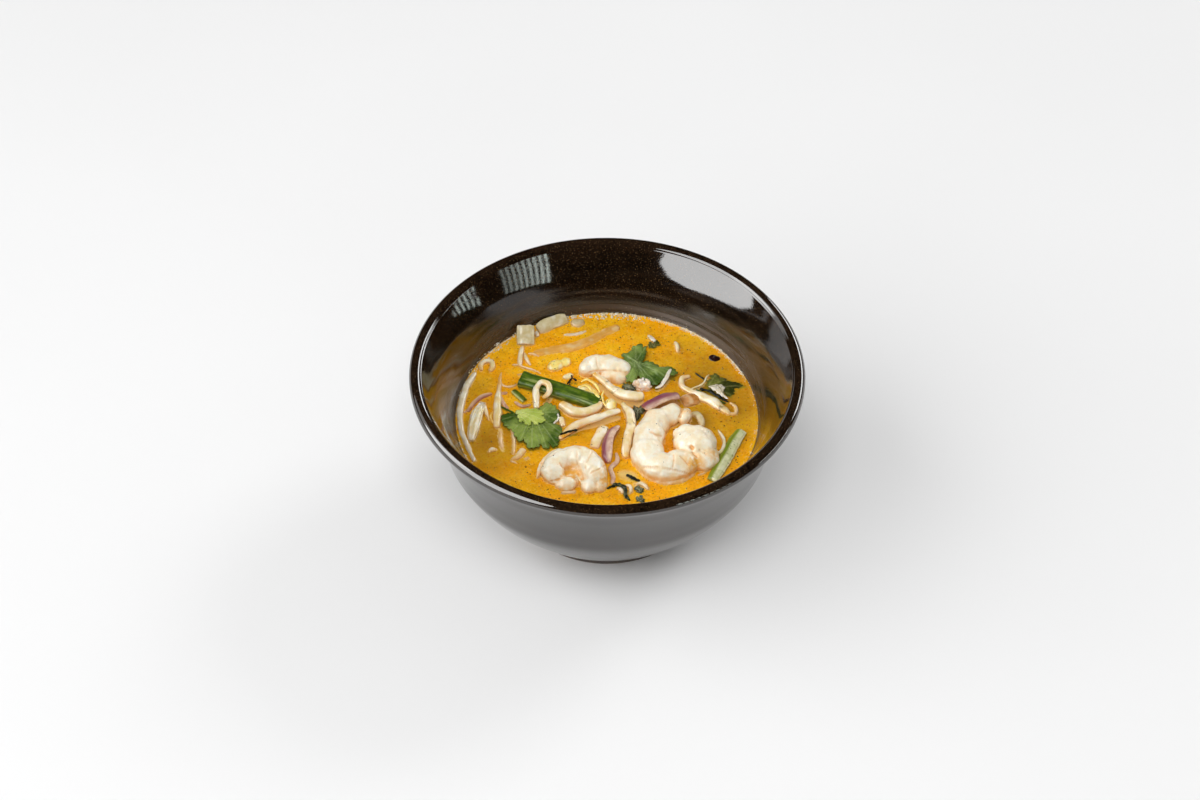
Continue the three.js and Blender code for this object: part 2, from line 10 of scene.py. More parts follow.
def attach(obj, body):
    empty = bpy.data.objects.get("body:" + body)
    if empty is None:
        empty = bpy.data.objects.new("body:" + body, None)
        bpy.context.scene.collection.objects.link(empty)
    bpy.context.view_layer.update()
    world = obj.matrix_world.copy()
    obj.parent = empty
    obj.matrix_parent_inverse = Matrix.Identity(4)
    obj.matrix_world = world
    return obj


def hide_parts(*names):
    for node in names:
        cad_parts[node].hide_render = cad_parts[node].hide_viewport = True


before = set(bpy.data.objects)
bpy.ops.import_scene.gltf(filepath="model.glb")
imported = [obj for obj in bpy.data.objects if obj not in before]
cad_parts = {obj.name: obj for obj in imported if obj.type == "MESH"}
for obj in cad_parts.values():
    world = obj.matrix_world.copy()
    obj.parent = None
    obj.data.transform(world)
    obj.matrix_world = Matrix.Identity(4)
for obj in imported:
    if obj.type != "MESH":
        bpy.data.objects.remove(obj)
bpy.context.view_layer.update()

mm = 0.001                                 # shapes below are in millimetres, the scene is in metres
soupLevel = 53.6                           # height of the broth's surface
lookDown = Vector((0.0, 0.7103, -0.7039))  # the camera's direction, which places marks on curved flesh
layerNames = ("along", "turn", "tint", "mark")
chance = random.Random(7)


def smoothPath(points, count, fineSteps=24):
    # centripetal Catmull-Rom through the points, walked in even steps
    knots = [Vector(p) for p in points]
    knots = [2 * knots[0] - knots[1]] + knots + [2 * knots[-1] - knots[-2]]
    fine = [knots[1]]
    for a, b, c, d in zip(knots, knots[1:], knots[2:], knots[3:]):
        ta = 0.0
        tb = ta + max((b - a).length, 1e-6) ** 0.5
        tc = tb + max((c - b).length, 1e-6) ** 0.5
        td = tc + max((d - c).length, 1e-6) ** 0.5
        for k in range(1, fineSteps + 1):
            t = tb + (tc - tb) * k / fineSteps
            ab = a.lerp(b, (t - ta) / (tb - ta))
            bc = b.lerp(c, (t - tb) / (tc - tb))
            cd = c.lerp(d, (t - tc) / (td - tc))
            abc, bcd = ab.lerp(bc, (t - ta) / (tc - ta)), bc.lerp(cd, (t - tb) / (td - tb))
            fine.append(abc.lerp(bcd, (t - tb) / (tc - tb)))
    lengths = [0.0]
    for a, b in zip(fine, fine[1:]):
        lengths.append(lengths[-1] + (b - a).length)
    places, k = [], 0
    for i in range(count + 1):
        goal = lengths[-1] * i / count
        while k < len(fine) - 2 and lengths[k + 1] < goal:
            k += 1
        span = max(lengths[k + 1] - lengths[k], 1e-9)
        places.append(fine[k].lerp(fine[k + 1], (goal - lengths[k]) / span))
    return places


def pathFrame(points, count=160):
    # returns a function from 0..1 to a place, its level side direction and its up direction
    places = smoothPath([(x, y, soupLevel + h) for x, y, h in points], count)

    def at(u):
        k = min(max(u, 0.0), 1.0) * count
        i = min(int(k), count - 1)
        place = places[i].lerp(places[i + 1], k - i)
        ahead = (places[min(i + 2, count)] - places[max(i - 1, 0)]).normalized()
        side = Vector((ahead.y, -ahead.x, 0.0)).normalized()
        return place, side, side.cross(ahead).normalized()

    return at


def fade(low, high, value):
    share = min(max((value - low) / (high - low), 0.0), 1.0)
    return share * share * (3 - 2 * share)


def spread(values, u):
    # smooth interpolation of evenly spaced values
    k = min(max(u, 0.0), 1.0) * (len(values) - 1)
    i = min(int(k), len(values) - 2)
    share = k - i
    share = share * share * (3 - 2 * share)
    return values[i] * (1 - share) + values[i + 1] * share


def squared(value, power=0.55):
    # pushes a cosine or sine out towards its ends, so that a round section turns boxy
    return math.copysign(abs(value) ** power, value)


def addLayers(bm):
    for name in layerNames:
        if name not in bm.verts.layers.float:
            bm.verts.layers.float.new(name)
    return bm


def startPiece():
    return addLayers(bmesh.new())


def layersOf(bm, *names):
    return [bm.verts.layers.float[name] for name in names]


def addRod(bm, points, radii, sides=14, steps=48, flat=1.0, ends=(0.06, 0.06), section=None):
    # a rod with closed, rounded ends: a sphere whose rings are laid along the path
    at = pathFrame(points)
    along, turn = layersOf(bm, "along", "turn")
    for vert in bmesh.ops.create_uvsphere(bm, u_segments=sides, v_segments=steps, radius=1)["verts"]:
        u = math.acos(max(-1.0, min(1.0, vert.co.z))) / math.pi
        u -= 0.75 * math.sin(2 * math.pi * u) / (2 * math.pi)     # rings crowd at the rounded ends
        angle = math.atan2(vert.co.y, vert.co.x)
        start = min(u / ends[0], 1.0)
        end = min((1 - u) / ends[1], 1.0)
        closing = math.sqrt(max(1 - (1 - start) ** 2, 0.0)) * math.sqrt(max(1 - (1 - end) ** 2, 0.0))
        half = spread(radii, u) * closing
        if section:
            across, rise = section(u, angle, half)
        else:
            across, rise = math.cos(angle) * half, math.sin(angle) * half * flat
        place, side, up = at(u)
        vert.co = place + side * across + up * rise
        vert[along] = u
        vert[turn] = angle / (2 * math.pi)


def addEgg(bm, centre, half, turn=0.0, detail=24):
    place = Vector((centre[0], centre[1], soupLevel + centre[2]))
    matrix = Matrix.LocRotScale(place, Euler((0, 0, math.radians(turn))), Vector(half))
    bmesh.ops.create_uvsphere(bm, u_segments=detail, v_segments=detail * 2 // 3, radius=1, matrix=matrix)


def bandSection(width, thickness, bow=0.0, tilt=0.0, ribs=0, ribDepth=0.0, narrow=0.5):
    # cross-section of a strip or petal: crisp edges, bowed up in the middle, perhaps ribbed
    lean = math.radians(tilt)

    def section(u, angle, closing):
        shrink = closing * (1 - narrow * abs(2 * u - 1) ** 3)
        across = squared(math.cos(angle))
        rise = squared(math.sin(angle), 0.5) * thickness / 2 * closing
        rise += bow * (1 - across * across) * shrink
        if ribs and math.sin(angle) > 0:
            rise += ribDepth * math.cos(across * ribs * math.pi) * closing
        x = across * width / 2 * shrink
        return x * math.cos(lean), rise + x * math.sin(lean)

    return section


def roughen(bm, *passes):
    # pushes the surface in and out with noise: how long its waves are, how high, and where it starts
    for size, amount, seed in passes:
        bm.normal_update()
        start = Vector((seed, 0, 0))
        shifts = [vert.normal * amount * noise.noise((vert.co + start) / size) for vert in bm.verts]
        for vert, shift in zip(bm.verts, shifts):
            vert.co += shift


def soften(bm, rounds):
    for _ in range(rounds):
        bmesh.ops.smooth_vert(bm, verts=bm.verts, factor=0.5, use_axis_x=True, use_axis_y=True,
                              use_axis_z=True)


def fuse(bm, voxel, rounds):
    # joins overlapping shapes into one soft skin
    mesh = bpy.data.meshes.new("fusing")
    bm.to_mesh(mesh)
    bm.free()
    carrier = bpy.data.objects.new("fusing", mesh)
    bpy.context.scene.collection.objects.link(carrier)
    remesh = carrier.modifiers.new("voxels", "REMESH")
    remesh.mode = "VOXEL"
    remesh.voxel_size = voxel
    joined = bmesh.new()
    joined.from_object(carrier, bpy.context.evaluated_depsgraph_get())
    bpy.data.objects.remove(carrier)
    addLayers(joined)
    soften(joined, rounds)
    return joined


def ontoSurface(tree, points, above=30):
    # drops points onto the surface along the camera's direction
    found = []
    for x, y, h in points:
        place = Vector((x, y, soupLevel + h))
        hit = tree.ray_cast(place - lookDown * above, lookDown)[0]
        found.append(hit if hit else place)
    return found


def scoreLines(bm, lines):
    # cuts shallow creases along lines drawn on the surface,
    # and marks them for broth colour with painted shade
    bm.normal_update()
    tree = BVHTree.FromBMesh(bm)
    mark = layersOf(bm, "mark")[0]
    for line in lines:
        dots = smoothPath(ontoSurface(tree, line["points"]), 24)
        width, depth = line.get("width", 0.45), 0.7 * line["depth"]
        colour = line.get("colour", 0.7)
        low = Vector(min(d[k] for d in dots) - 4 * width for k in range(3))
        high = Vector(max(d[k] for d in dots) + 4 * width for k in range(3))
        for vert in bm.verts:
            co = vert.co
            if any(co[k] < low[k] or co[k] > high[k] for k in range(3)):
                continue
            reach = min((co - d).length_squared for d in dots)
            strength = math.exp(-reach / (width * width))
            if strength > 0.02:
                vert.co -= vert.normal * depth * strength
                vert[mark] = max(vert[mark], strength * colour)


def markHollows(bm, layer, rounds, depth):
    # hollows are where smoothing would push the surface outwards;
    # broth gathers there, and the colour laid there is also painted shade
    places = [vert.co.copy() for vert in bm.verts]
    soften(bm, rounds)
    shifts = [vert.co - place for vert, place in zip(bm.verts, places)]
    for vert, place in zip(bm.verts, places):
        vert.co = place
    bm.normal_update()
    for vert, shift in zip(bm.verts, shifts):
        vert[layer] = max(vert[layer], min(max(shift.dot(vert.normal) / depth, 0.0), 1.0))


def scatter(spots, batch=60):
    # many small balls, made a few at a time because one growing mesh is slow: matrix and detail for each
    whole = startPiece()
    for start in range(0, len(spots), batch):
        few = startPiece()
        for matrix, detail in spots[start:start + batch]:
            bmesh.ops.create_icosphere(few, subdivisions=detail, radius=1, matrix=matrix)
        mesh = bpy.data.meshes.new("few")
        few.to_mesh(mesh)
        few.free()
        whole.from_mesh(mesh)
        bpy.data.meshes.remove(mesh)
    return whole


sunk = {"pale": [], "green": [], "purple": []}     # what shows through the broth, by colour
# broth colours pieces up to this height above the level; down-facing sides get painted shade in the same
# colour
brothAndShading = {"height": 2.2, "faceUp": 0.65, "faceDown": -0.2, "sides": 0.75}


def finishPiece(bm, name, material, node=None, under=None):
    # how much broth colour is laid on: broth near the level, painted shade on sides that face down
    wet = bm.verts.layers.float.new("wet")
    bm.normal_update()
    for vert in bm.verts:
        low = 1 - fade(0.0, brothAndShading["height"], vert.co.z - soupLevel)
        side = brothAndShading["sides"] * fade(brothAndShading["faceUp"], brothAndShading["faceDown"], vert.normal.z)
        vert[wet] = max(low, side)
    if under:
        sunk[under].append(BVHTree.FromBMesh(bm))
    bmesh.ops.scale(bm, vec=(mm, mm, mm), verts=bm.verts)
    mesh = bpy.data.meshes.new(name)
    bm.to_mesh(mesh)
    bm.free()
    mesh.shade_smooth()
    mesh.materials.append(material)
    piece = bpy.data.objects.new(name, mesh)
    bpy.context.scene.collection.objects.link(piece)
    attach(piece, "root")
    if node:
        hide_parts(node)


def buildStrands(name, shape):
    # strands joined into one piece: round ones have half widths along them, flat ones a single width
    bm = startPiece()
    for points, size in shape["strands"]:
        if "band" in shape:
            thickness, bow, ribs, ribDepth = shape["band"]
            addRod(bm, points, [1, 1], *shape["detail"],
                   section=bandSection(size, thickness, bow, 0, ribs, ribDepth))
        else:
            addRod(bm, points, size, *shape["detail"], flat=shape.get("flat", 1.0),
                   ends=shape.get("ends", (0.06, 0.06)))
    tint = layersOf(bm, "tint")[0]
    if "tint" in shape:
        for vert in bm.verts:
            vert[tint] = shape["tint"] * (0.8 + noise.noise(vert.co / 2))
    roughen(bm, *shape["rough"])
    finishPiece(bm, name, shape["look"], None, shape["under"])


def buildLump(name, shape):
    # rounded lumps in one piece: centre, half lengths, turn and detail of each
    bm = startPiece()
    for egg in shape["eggs"]:
        addEgg(bm, *egg)
    roughen(bm, *shape["rough"])
    finishPiece(bm, name, shape["look"], shape["node"], shape["under"])


def hexColour(code):
    # sRGB hex to linear
    parts = [int(code[k:k + 2], 16) / 255 for k in (1, 3, 5)]
    return (*[p / 12.92 if p <= 0.04045 else ((p + 0.055) / 1.055) ** 2.4 for p in parts], 1.0)


def perMm(size):
    # texture scale for a pattern whose features are this many millimetres apart
    return 1 / (size * mm)


def addNode(tree, kind, inputs=None, **settings):
    # an input is a value, or the socket of another node to link
    node = tree.nodes.new(kind)
    for name, value in settings.items():
        setattr(node, name, value)
    for socket, value in (inputs or {}).items():
        if isinstance(value, bpy.types.NodeSocket):
            tree.links.new(value, node.inputs[socket])
        else:
            node.inputs[socket].default_value = value
    return node


def startMaterial(name, values):
    material = bpy.data.materials.new(name)
    material.use_nodes = True
    tree = material.node_tree
    shader = tree.nodes["Principled BSDF"]
    for socket, value in values.items():
        shader.inputs[socket].default_value = value
    return material, tree, shader, addNode(tree, "ShaderNodeTexCoord").outputs["Object"]


def calc(tree, operation, *inputs):
    return addNode(tree, "ShaderNodeMath", dict(enumerate(inputs)), operation=operation).outputs[0]


def ranged(tree, value, low=0.0, high=1.0, bottom=0.0, top=1.0, way="LINEAR"):
    inputs = {"Value": value, "From Min": low, "From Max": high, "To Min": bottom, "To Max": top}
    return addNode(tree, "ShaderNodeMapRange", inputs, interpolation_type=way).outputs[0]


def cloud(tree, place, size, detail):
    # noise whose features are about this size in millimetres
    inputs = {"Scale": perMm(size), "Detail": detail, "Vector": place}
    return addNode(tree, "ShaderNodeTexNoise", inputs).outputs[0]


def patches(tree, place, size, low, high, detail=2.0, top=1.0):
    return ranged(tree, cloud(tree, place, size, detail), low, high, top=top, way="SMOOTHSTEP")


def attribute(tree, name):
    return addNode(tree, "ShaderNodeAttribute", attribute_name=name).outputs["Fac"]


def marked(tree, name, high=1.0, low=0.0, top=1.0):
    return ranged(tree, attribute(tree, name), low, high, top=top)


def roundDots(tree, place, pitch, largest, edge, top=1.0):
    # one dot in each cell, of its own size up to the largest
    cells = addNode(tree, "ShaderNodeTexVoronoi", {"Scale": perMm(pitch), "Vector": place})
    size = addNode(tree, "ShaderNodeSeparateColor", {0: cells.outputs["Color"]}).outputs[0]
    inside = calc(tree, "SUBTRACT", calc(tree, "MULTIPLY", size, largest), cells.outputs["Distance"])
    return ranged(tree, inside, 0.0, edge, top=top)


def layOver(tree, colour, *coats):
    # each coat is how much of it shows, then its colour; colours are hex codes or sockets
    for share, coat in coats:
        first, second = [hexColour(c) if isinstance(c, str) else c for c in (colour, coat)]
        inputs = {0: share, 6: first, 7: second}
        colour = addNode(tree, "ShaderNodeMix", inputs, data_type="RGBA").outputs[2]
    return colour


def finishMaterial(tree, shader, colour, height=None, strength=0.0, depth=0.0):
    # base colour, and a bump with its depth in millimetres
    tree.links.new(colour, shader.inputs["Base Color"])
    if height is not None:
        inputs = {"Strength": strength, "Distance": depth * mm, "Height": height}
        tree.links.new(addNode(tree, "ShaderNodeBump", inputs).outputs[0], shader.inputs["Normal"])


def ironGlazedStoneware():
    # thrown stoneware dipped in iron glaze: near black and deep, with fine brown flecks and a wet shine
    material, tree, shader, place = startMaterial("ironGlazedStoneware", {"IOR": 1.85})
    height = addNode(tree, "ShaderNodeSeparateXYZ", {"Vector": place}).outputs["Z"]
    nearLip = ranged(tree, height, 76 * mm, 87 * mm, top=0.4)
    broken = calc(tree, "MULTIPLY", nearLip, patches(tree, place, 1.4, 0.3, 0.65, 4.0))
    dots = roundDots(tree, place, 1.3, 0.2, 0.06)
    spray = calc(tree, "MULTIPLY", dots, marked(tree, "mark", 0.9, 0.25, 0.8))
    bare = ranged(tree, height, 0.5 * mm, 0.25 * mm)
    clay = layOver(tree, "#6d5540", (patches(tree, place, 0.8, 0.4, 0.6), "#8a705a"))
    colour = layOver(
        tree, "#0d0805", (patches(tree, place, 11, 0.35, 0.7), "#1b120b"),
        (broken, "#3d2a1c"),                    # the glaze turns rusty brown in broken patches towards the lip
        (patches(tree, place, 0.6, 0.6, 0.7, 1.0, 0.5), "#5d4a31"),
        (marked(tree, "mark", top=0.45), "#4a3115"),     # a brown film where broth has splashed the inside
        # smears of broth film: rougher, and brown partly as a painted reflection of the broth
        (marked(tree, "tint", top=0.5), "#4e3d2c"),
        (spray, "#c9b48c"),
        (bare, clay))                           # the foot ring's resting face is bare clay
    gloss = ranged(tree, marked(tree, "mark"), bottom=0.05, top=0.34)
    smearsAndReflection = calc(tree, "MULTIPLY", 0.22, marked(tree, "tint"))
    rough = calc(tree, "ADD", gloss, calc(tree, "MULTIPLY_ADD", 0.7, bare, smearsAndReflection))
    tree.links.new(rough, shader.inputs["Roughness"])
    # fine orange peel breaks the edges of reflections into grains
    finishMaterial(tree, shader, colour, cloud(tree, place, 0.75, 2.0), 0.6, 0.016)
    return material


def spicyBroth():
    # coconut and chilli broth: opaque, bright orange yellow, with red oil dots and what lies just under it
    material, tree, shader, place = startMaterial("spicyBroth", {
        "IOR": 1.34, "Subsurface Weight": 0.25, "Subsurface Radius": (1.0, 0.6, 0.15),
        "Subsurface Scale": 1.5 * mm})
    colour = layOver(
        tree, "#ffb00c", (patches(tree, place, 14, 0.35, 0.65), "#ffc11c"),
        (patches(tree, place, 3.2, 0.45, 0.72, 3.0, 0.45), "#dd920a"),
        (patches(tree, place, 0.9, 0.5, 0.66, 4.0, 0.42), "#c47808"),     # grain of chilli paste
        (patches(tree, place, 1.3, 0.56, 0.7, 4.0, 0.55), "#ffd466"),     # grain of coconut
        # painted shade: browner broth along the walls and beside the garnish
        (marked(tree, "tint"), "#9c701c"),
        (marked(tree, "underPale", top=0.8), "#f0d08a"),
        (marked(tree, "underGreen", top=0.7), "#7d7a24"),
        (marked(tree, "underPurple", top=0.7), "#d09a6a"),
        (roundDots(tree, place, 1.9, 0.3, 0.05, 0.6), "#b8560a"))         # oil, up to one millimetre across
    rough = ranged(tree, patches(tree, place, 5, 0.3, 0.7), bottom=0.16, top=0.34)
    tree.links.new(rough, shader.inputs["Roughness"])
    finishMaterial(tree, shader, colour, cloud(tree, place, 2.2, 3.0), 0.25, 0.25)
    return material


def poachedPrawn():
    # peeled prawn poached till opaque: creamy white flesh, moist,
    # with tan broth and painted shade in its creases
    material, tree, shader, place = startMaterial("poachedPrawn", {
        "IOR": 1.38, "Subsurface Weight": 0.25, "Subsurface Radius": (1.0, 0.8, 0.6),
        "Subsurface Scale": 1.6 * mm, "Roughness": 0.34, "Coat Weight": 0.3, "Coat Roughness": 0.14})
    blush = calc(tree, "MULTIPLY", marked(tree, "tint"), patches(tree, place, 2.4, 0.25, 0.6, 4.0))
    colour = layOver(
        tree, "#fffbea", (patches(tree, place, 5, 0.35, 0.7, 3.0), "#fbebc9"),
        (patches(tree, place, 0.8, 0.5, 0.68, 4.0, 0.25), "#f0d09a"), (blush, "#f2b448"),
        # broth colour near the level with painted shade on down-facing sides, then broth with painted shade
        # in creases
        (marked(tree, "wet", top=0.65), "#f0ae3e"), (marked(tree, "mark", top=0.8), "#dd9626"))
    finishMaterial(tree, shader, colour, cloud(tree, place, 1.0, 5.0), 0.5, 0.3)
    return material


def vegetable(name, pale, deep, tinted, stained, brothAndShadeAmount, stripes=0.0, size=3.0, values=None, veined=1.0):
    # cut, cooked vegetable: two close colours in patches, a tint along or across it, and dark marks
    base = {"IOR": 1.38, "Roughness": 0.3, "Subsurface Weight": 0.25, "Subsurface Radius": (1.0, 0.8, 0.45),
            "Subsurface Scale": 1.2 * mm, "Coat Weight": 0.6, "Coat Roughness": 0.1}
    material, tree, shader, place = startMaterial(name, {**base, **(values or {})})
    colour = layOver(tree, pale, (patches(tree, place, size, 0.35, 0.7, 3.0), deep))
    if stripes:
        # veins along the piece: noise stretched along it, read from its own turn and along values
        turn, along = attribute(tree, "turn"), attribute(tree, "along")
        way = addNode(tree, "ShaderNodeCombineXYZ", {0: turn, 1: along}).outputs[0]
        sweep = addNode(tree, "ShaderNodeMapping", {"Scale": (stripes, 2.5, 1), "Vector": way}).outputs[0]
        veins = cloud(tree, sweep, 1 / mm, 3.0)
        height, strength = ranged(tree, veins, 0.4, 0.66, top=veined), 0.4
        colour = layOver(tree, colour, (height, deep))
    else:
        height, strength = cloud(tree, place, 0.9, 3.0), 0.3
    colour = layOver(
        # broth colour near the level, with painted shade on sides that face down
        tree, colour, (marked(tree, "tint"), tinted), (marked(tree, "wet", top=brothAndShadeAmount), "#e0982c"),
        (marked(tree, "mark"), stained))
    finishMaterial(tree, shader, colour, height, strength, 0.12)
    return material


def leafBlade(name, dark, light, vein):
    # fresh coriander: thin matt-glossy blade with paler veins, lit through a little
    material, tree, shader, place = startMaterial(name, {
        "IOR": 1.4, "Roughness": 0.4, "Subsurface Weight": 0.15, "Subsurface Radius": (0.6, 1.0, 0.15),
        "Subsurface Scale": 0.8 * mm, "Specular IOR Level": 0.3})
    colour = layOver(
        tree, dark, (marked(tree, "tint"), light), (patches(tree, place, 2.2, 0.4, 0.75, 3.0, 0.35), dark),
        (marked(tree, "mark", top=0.75), vein))
    finishMaterial(tree, shader, colour, cloud(tree, place, 0.7, 3.0), 0.3, 0.1)
    return material


def foamFilm():
    # bubbles of broth at its edge: thin wet film, pale and see-through
    material, tree, shader, place = startMaterial("brothFoam", {
        "IOR": 1.33, "Roughness": 0.08, "Transmission Weight": 0.3})
    finishMaterial(tree, shader, layOver(tree, "#fbf6e6", (patches(tree, place, 2, 0.4, 0.6), "#efdcb0")))
    return material


def paintedFloor():
    # seamless white sweep: matt paint with the faintest grain
    material, tree, shader, place = startMaterial("mattWhitePaint", {"Roughness": 0.85})
    finishMaterial(tree, shader, layOver(tree, "#f1f1f1", (patches(tree, place, 260, 0.3, 0.7), "#f3f3f3")))
    return material


print("materials")
glaze = ironGlazedStoneware()
broth = spicyBroth()
flesh = poachedPrawn()
sproutStem = vegetable("beanSproutStem", "#fff8e4", "#ecd99c", "#e6ab3a", "#6e4a18", 0.8, 6.0, 4.0,
                       veined=0.55)
beanHead = vegetable("beanSproutHead", "#ffe98c", "#f6cd60", "#fff4c4", "#3d3410", 0.45)
onionSkin = vegetable("redOnionSkin", "#eed6ba", "#c9a08e", "#894356", "#5e2336", 0.4, 14.0, veined=0.6)
onionFlesh = vegetable("cookedOnion", "#fbf1d6", "#e8d29c", "#fffaee", "#a08850", 0.5, 9.0,
                       values={"Subsurface Weight": 0.5})
crumbFlesh = vegetable("prawnCrumb", "#fdf0e2", "#efd3b0", "#fff8f0", "#8a6a40", 0.4)
clearFlesh = vegetable("steamedOnion", "#f0e4be", "#d6c490", "#f2ecd6", "#7a7250", 0.5, 9.0,
                       values={"Transmission Weight": 0.12, "Roughness": 0.2})
soakedFlesh = vegetable("soakedOnion", "#f3c470", "#e6a74a", "#f8dfaa", "#8a5a20", 0.45, 12.0)
brownFlesh = vegetable("brownedOnion", "#f2b878", "#c07c2e", "#f8deb0", "#4a260a", 0.35, 7.0,
                       values={"Transmission Weight": 0.2})
filmFlesh = vegetable("onionFilm", "#fbf3e0", "#e4d4b0", "#fffaf0", "#8a8f6a", 0.15, 7.0,
                      values={"Transmission Weight": 0.12, "Roughness": 0.14})
scallionGreen = vegetable("springOnionLeaf", "#617a12", "#34500a", "#c8cf80", "#14340a", 0.1, 26.0,
                          values={"Roughness": 0.34, "Subsurface Weight": 0.1, "Coat Weight": 0.12})
scallionInside = vegetable("springOnionInside", "#eceac6", "#cdd096", "#7f9020", "#54641c", 0.2, 16.0,
                           veined=0.6)
leafDark = leafBlade("corianderLeaf", "#3d5810", "#8fa24a", "#b3c07c")
leafTop = leafBlade("corianderLeafTop", "#455e1d", "#83984a", "#9fae72")
leafSoaked = leafBlade("corianderLeafSoaked", "#33380c", "#6b7026", "#a09a5a")
leafLight = leafBlade("corianderLeafYoung", "#98ac3e", "#c0cb64", "#d6de90")
herbFlesh = leafBlade("wiltedHerb", "#1c1d10", "#5d6240", "#b3b294")
chilliSkin = vegetable("driedChilli", "#2a0d08", "#180605", "#4a140c", "#0d0403", 0.0)

bowlShape = {
    "sides": 200,
    "foot": [
        (0, 3.5), (20, 3.5), (35.2, 3.5), (36.3, 3.1), (37.6, 0.7), (38.4, 0.1), (39, 0), (41.9, 0),
        (42.6, 0.2), (43, 0.9), (43.5, 6.2), (44.4, 7.2), (46, 7.9)],
    "outerWall": [
        (47.5, 8.5), (53.4, 14), (60.2, 22), (66.7, 30), (71.8, 38), (74.7, 44), (76.3, 50), (78.4, 58),
        (81.6, 68), (85.2, 77.5), (88.6, 81.4)],
    "lip": {"radius": 2.93, "centre": (87, 83), "from": -10, "to": 149, "steps": 16},
    "innerWall": [
        (84.4, 84.5), (78, 73.5), (73, 62), (69.35, 53.6), (64.5, 45), (56, 34), (41, 20.5), (22, 12),
        (0.5, 10.5)],
    "throwingRings": 0.008,       # height of the faint rings left by the potter's fingers
    "splashFade": 6,              # how far the wall is splashed, upwards from the broth
    "smearAndReflectionFade": 14,
}


def flatPath(points, count):
    return [(p.x, p.z) for p in smoothPath([(r, 0, z) for r, z in points], count)]


insideLine = flatPath(bowlShape["innerWall"], 160)


def innerRadius(height):
    # radius of the inside wall at a height
    for (ra, za), (rb, zb) in zip(insideLine, insideLine[1:]):
        if zb <= height <= za:
            return rb + (ra - rb) * (height - zb) / max(za - zb, 1e-6)
    return insideLine[0][0]


def spinProfile(bm, profile, sides):
    ring = [bm.verts.new((r, 0, z)) for r, z in profile]
    edges = [bm.edges.new(pair) for pair in zip(ring, ring[1:])]
    bmesh.ops.spin(bm, geom=ring + edges, axis=(0, 0, 1), cent=(0, 0, 0), angle=2 * math.pi, steps=sides,
                   use_merge=True, use_duplicate=False)
    bmesh.ops.remove_doubles(bm, verts=bm.verts, dist=1e-4)
    bmesh.ops.recalc_face_normals(bm, faces=bm.faces)


def buildBowl(shape):
    lip = shape["lip"]
    centre, radius = lip["centre"], lip["radius"]
    turns = [math.radians(lip["from"] + (lip["to"] - lip["from"]) * k / lip["steps"])
             for k in range(lip["steps"] + 1)]
    arc = [(centre[0] + radius * math.cos(t), centre[1] + radius * math.sin(t)) for t in turns]
    inside = [(r + shape["throwingRings"] * math.sin(z * 1.1), z) for r, z in insideLine]
    profile = shape["foot"] + flatPath(shape["outerWall"], 80) + arc + inside + [(0, 10.5)]
    bm = startPiece()
    spinProfile(bm, profile, shape["sides"])
    tint, mark = layersOf(bm, "tint", "mark")
    for vert in bm.verts:
        if math.hypot(vert.co.x, vert.co.y) < innerRadius(vert.co.z) + 0.2:
            above = max(vert.co.z - soupLevel, 0)
            vert[mark] = math.exp(-above / shape["splashFade"])
            # smears run round the wall where the broth has been higher;
            # their brown is partly a painted reflection of the broth
            around = Vector((vert.co.x / 30, vert.co.y / 30, vert.co.z / 1.7))
            smearAndReflection = fade(-0.15, 0.45, noise.noise(around))
            vert[tint] = smearAndReflection * math.exp(-(above / shape["smearAndReflectionFade"]) ** 2)
    finishPiece(bm, "glazedBowl", glaze, "bowl")


print("bowl")
buildBowl(bowlShape)


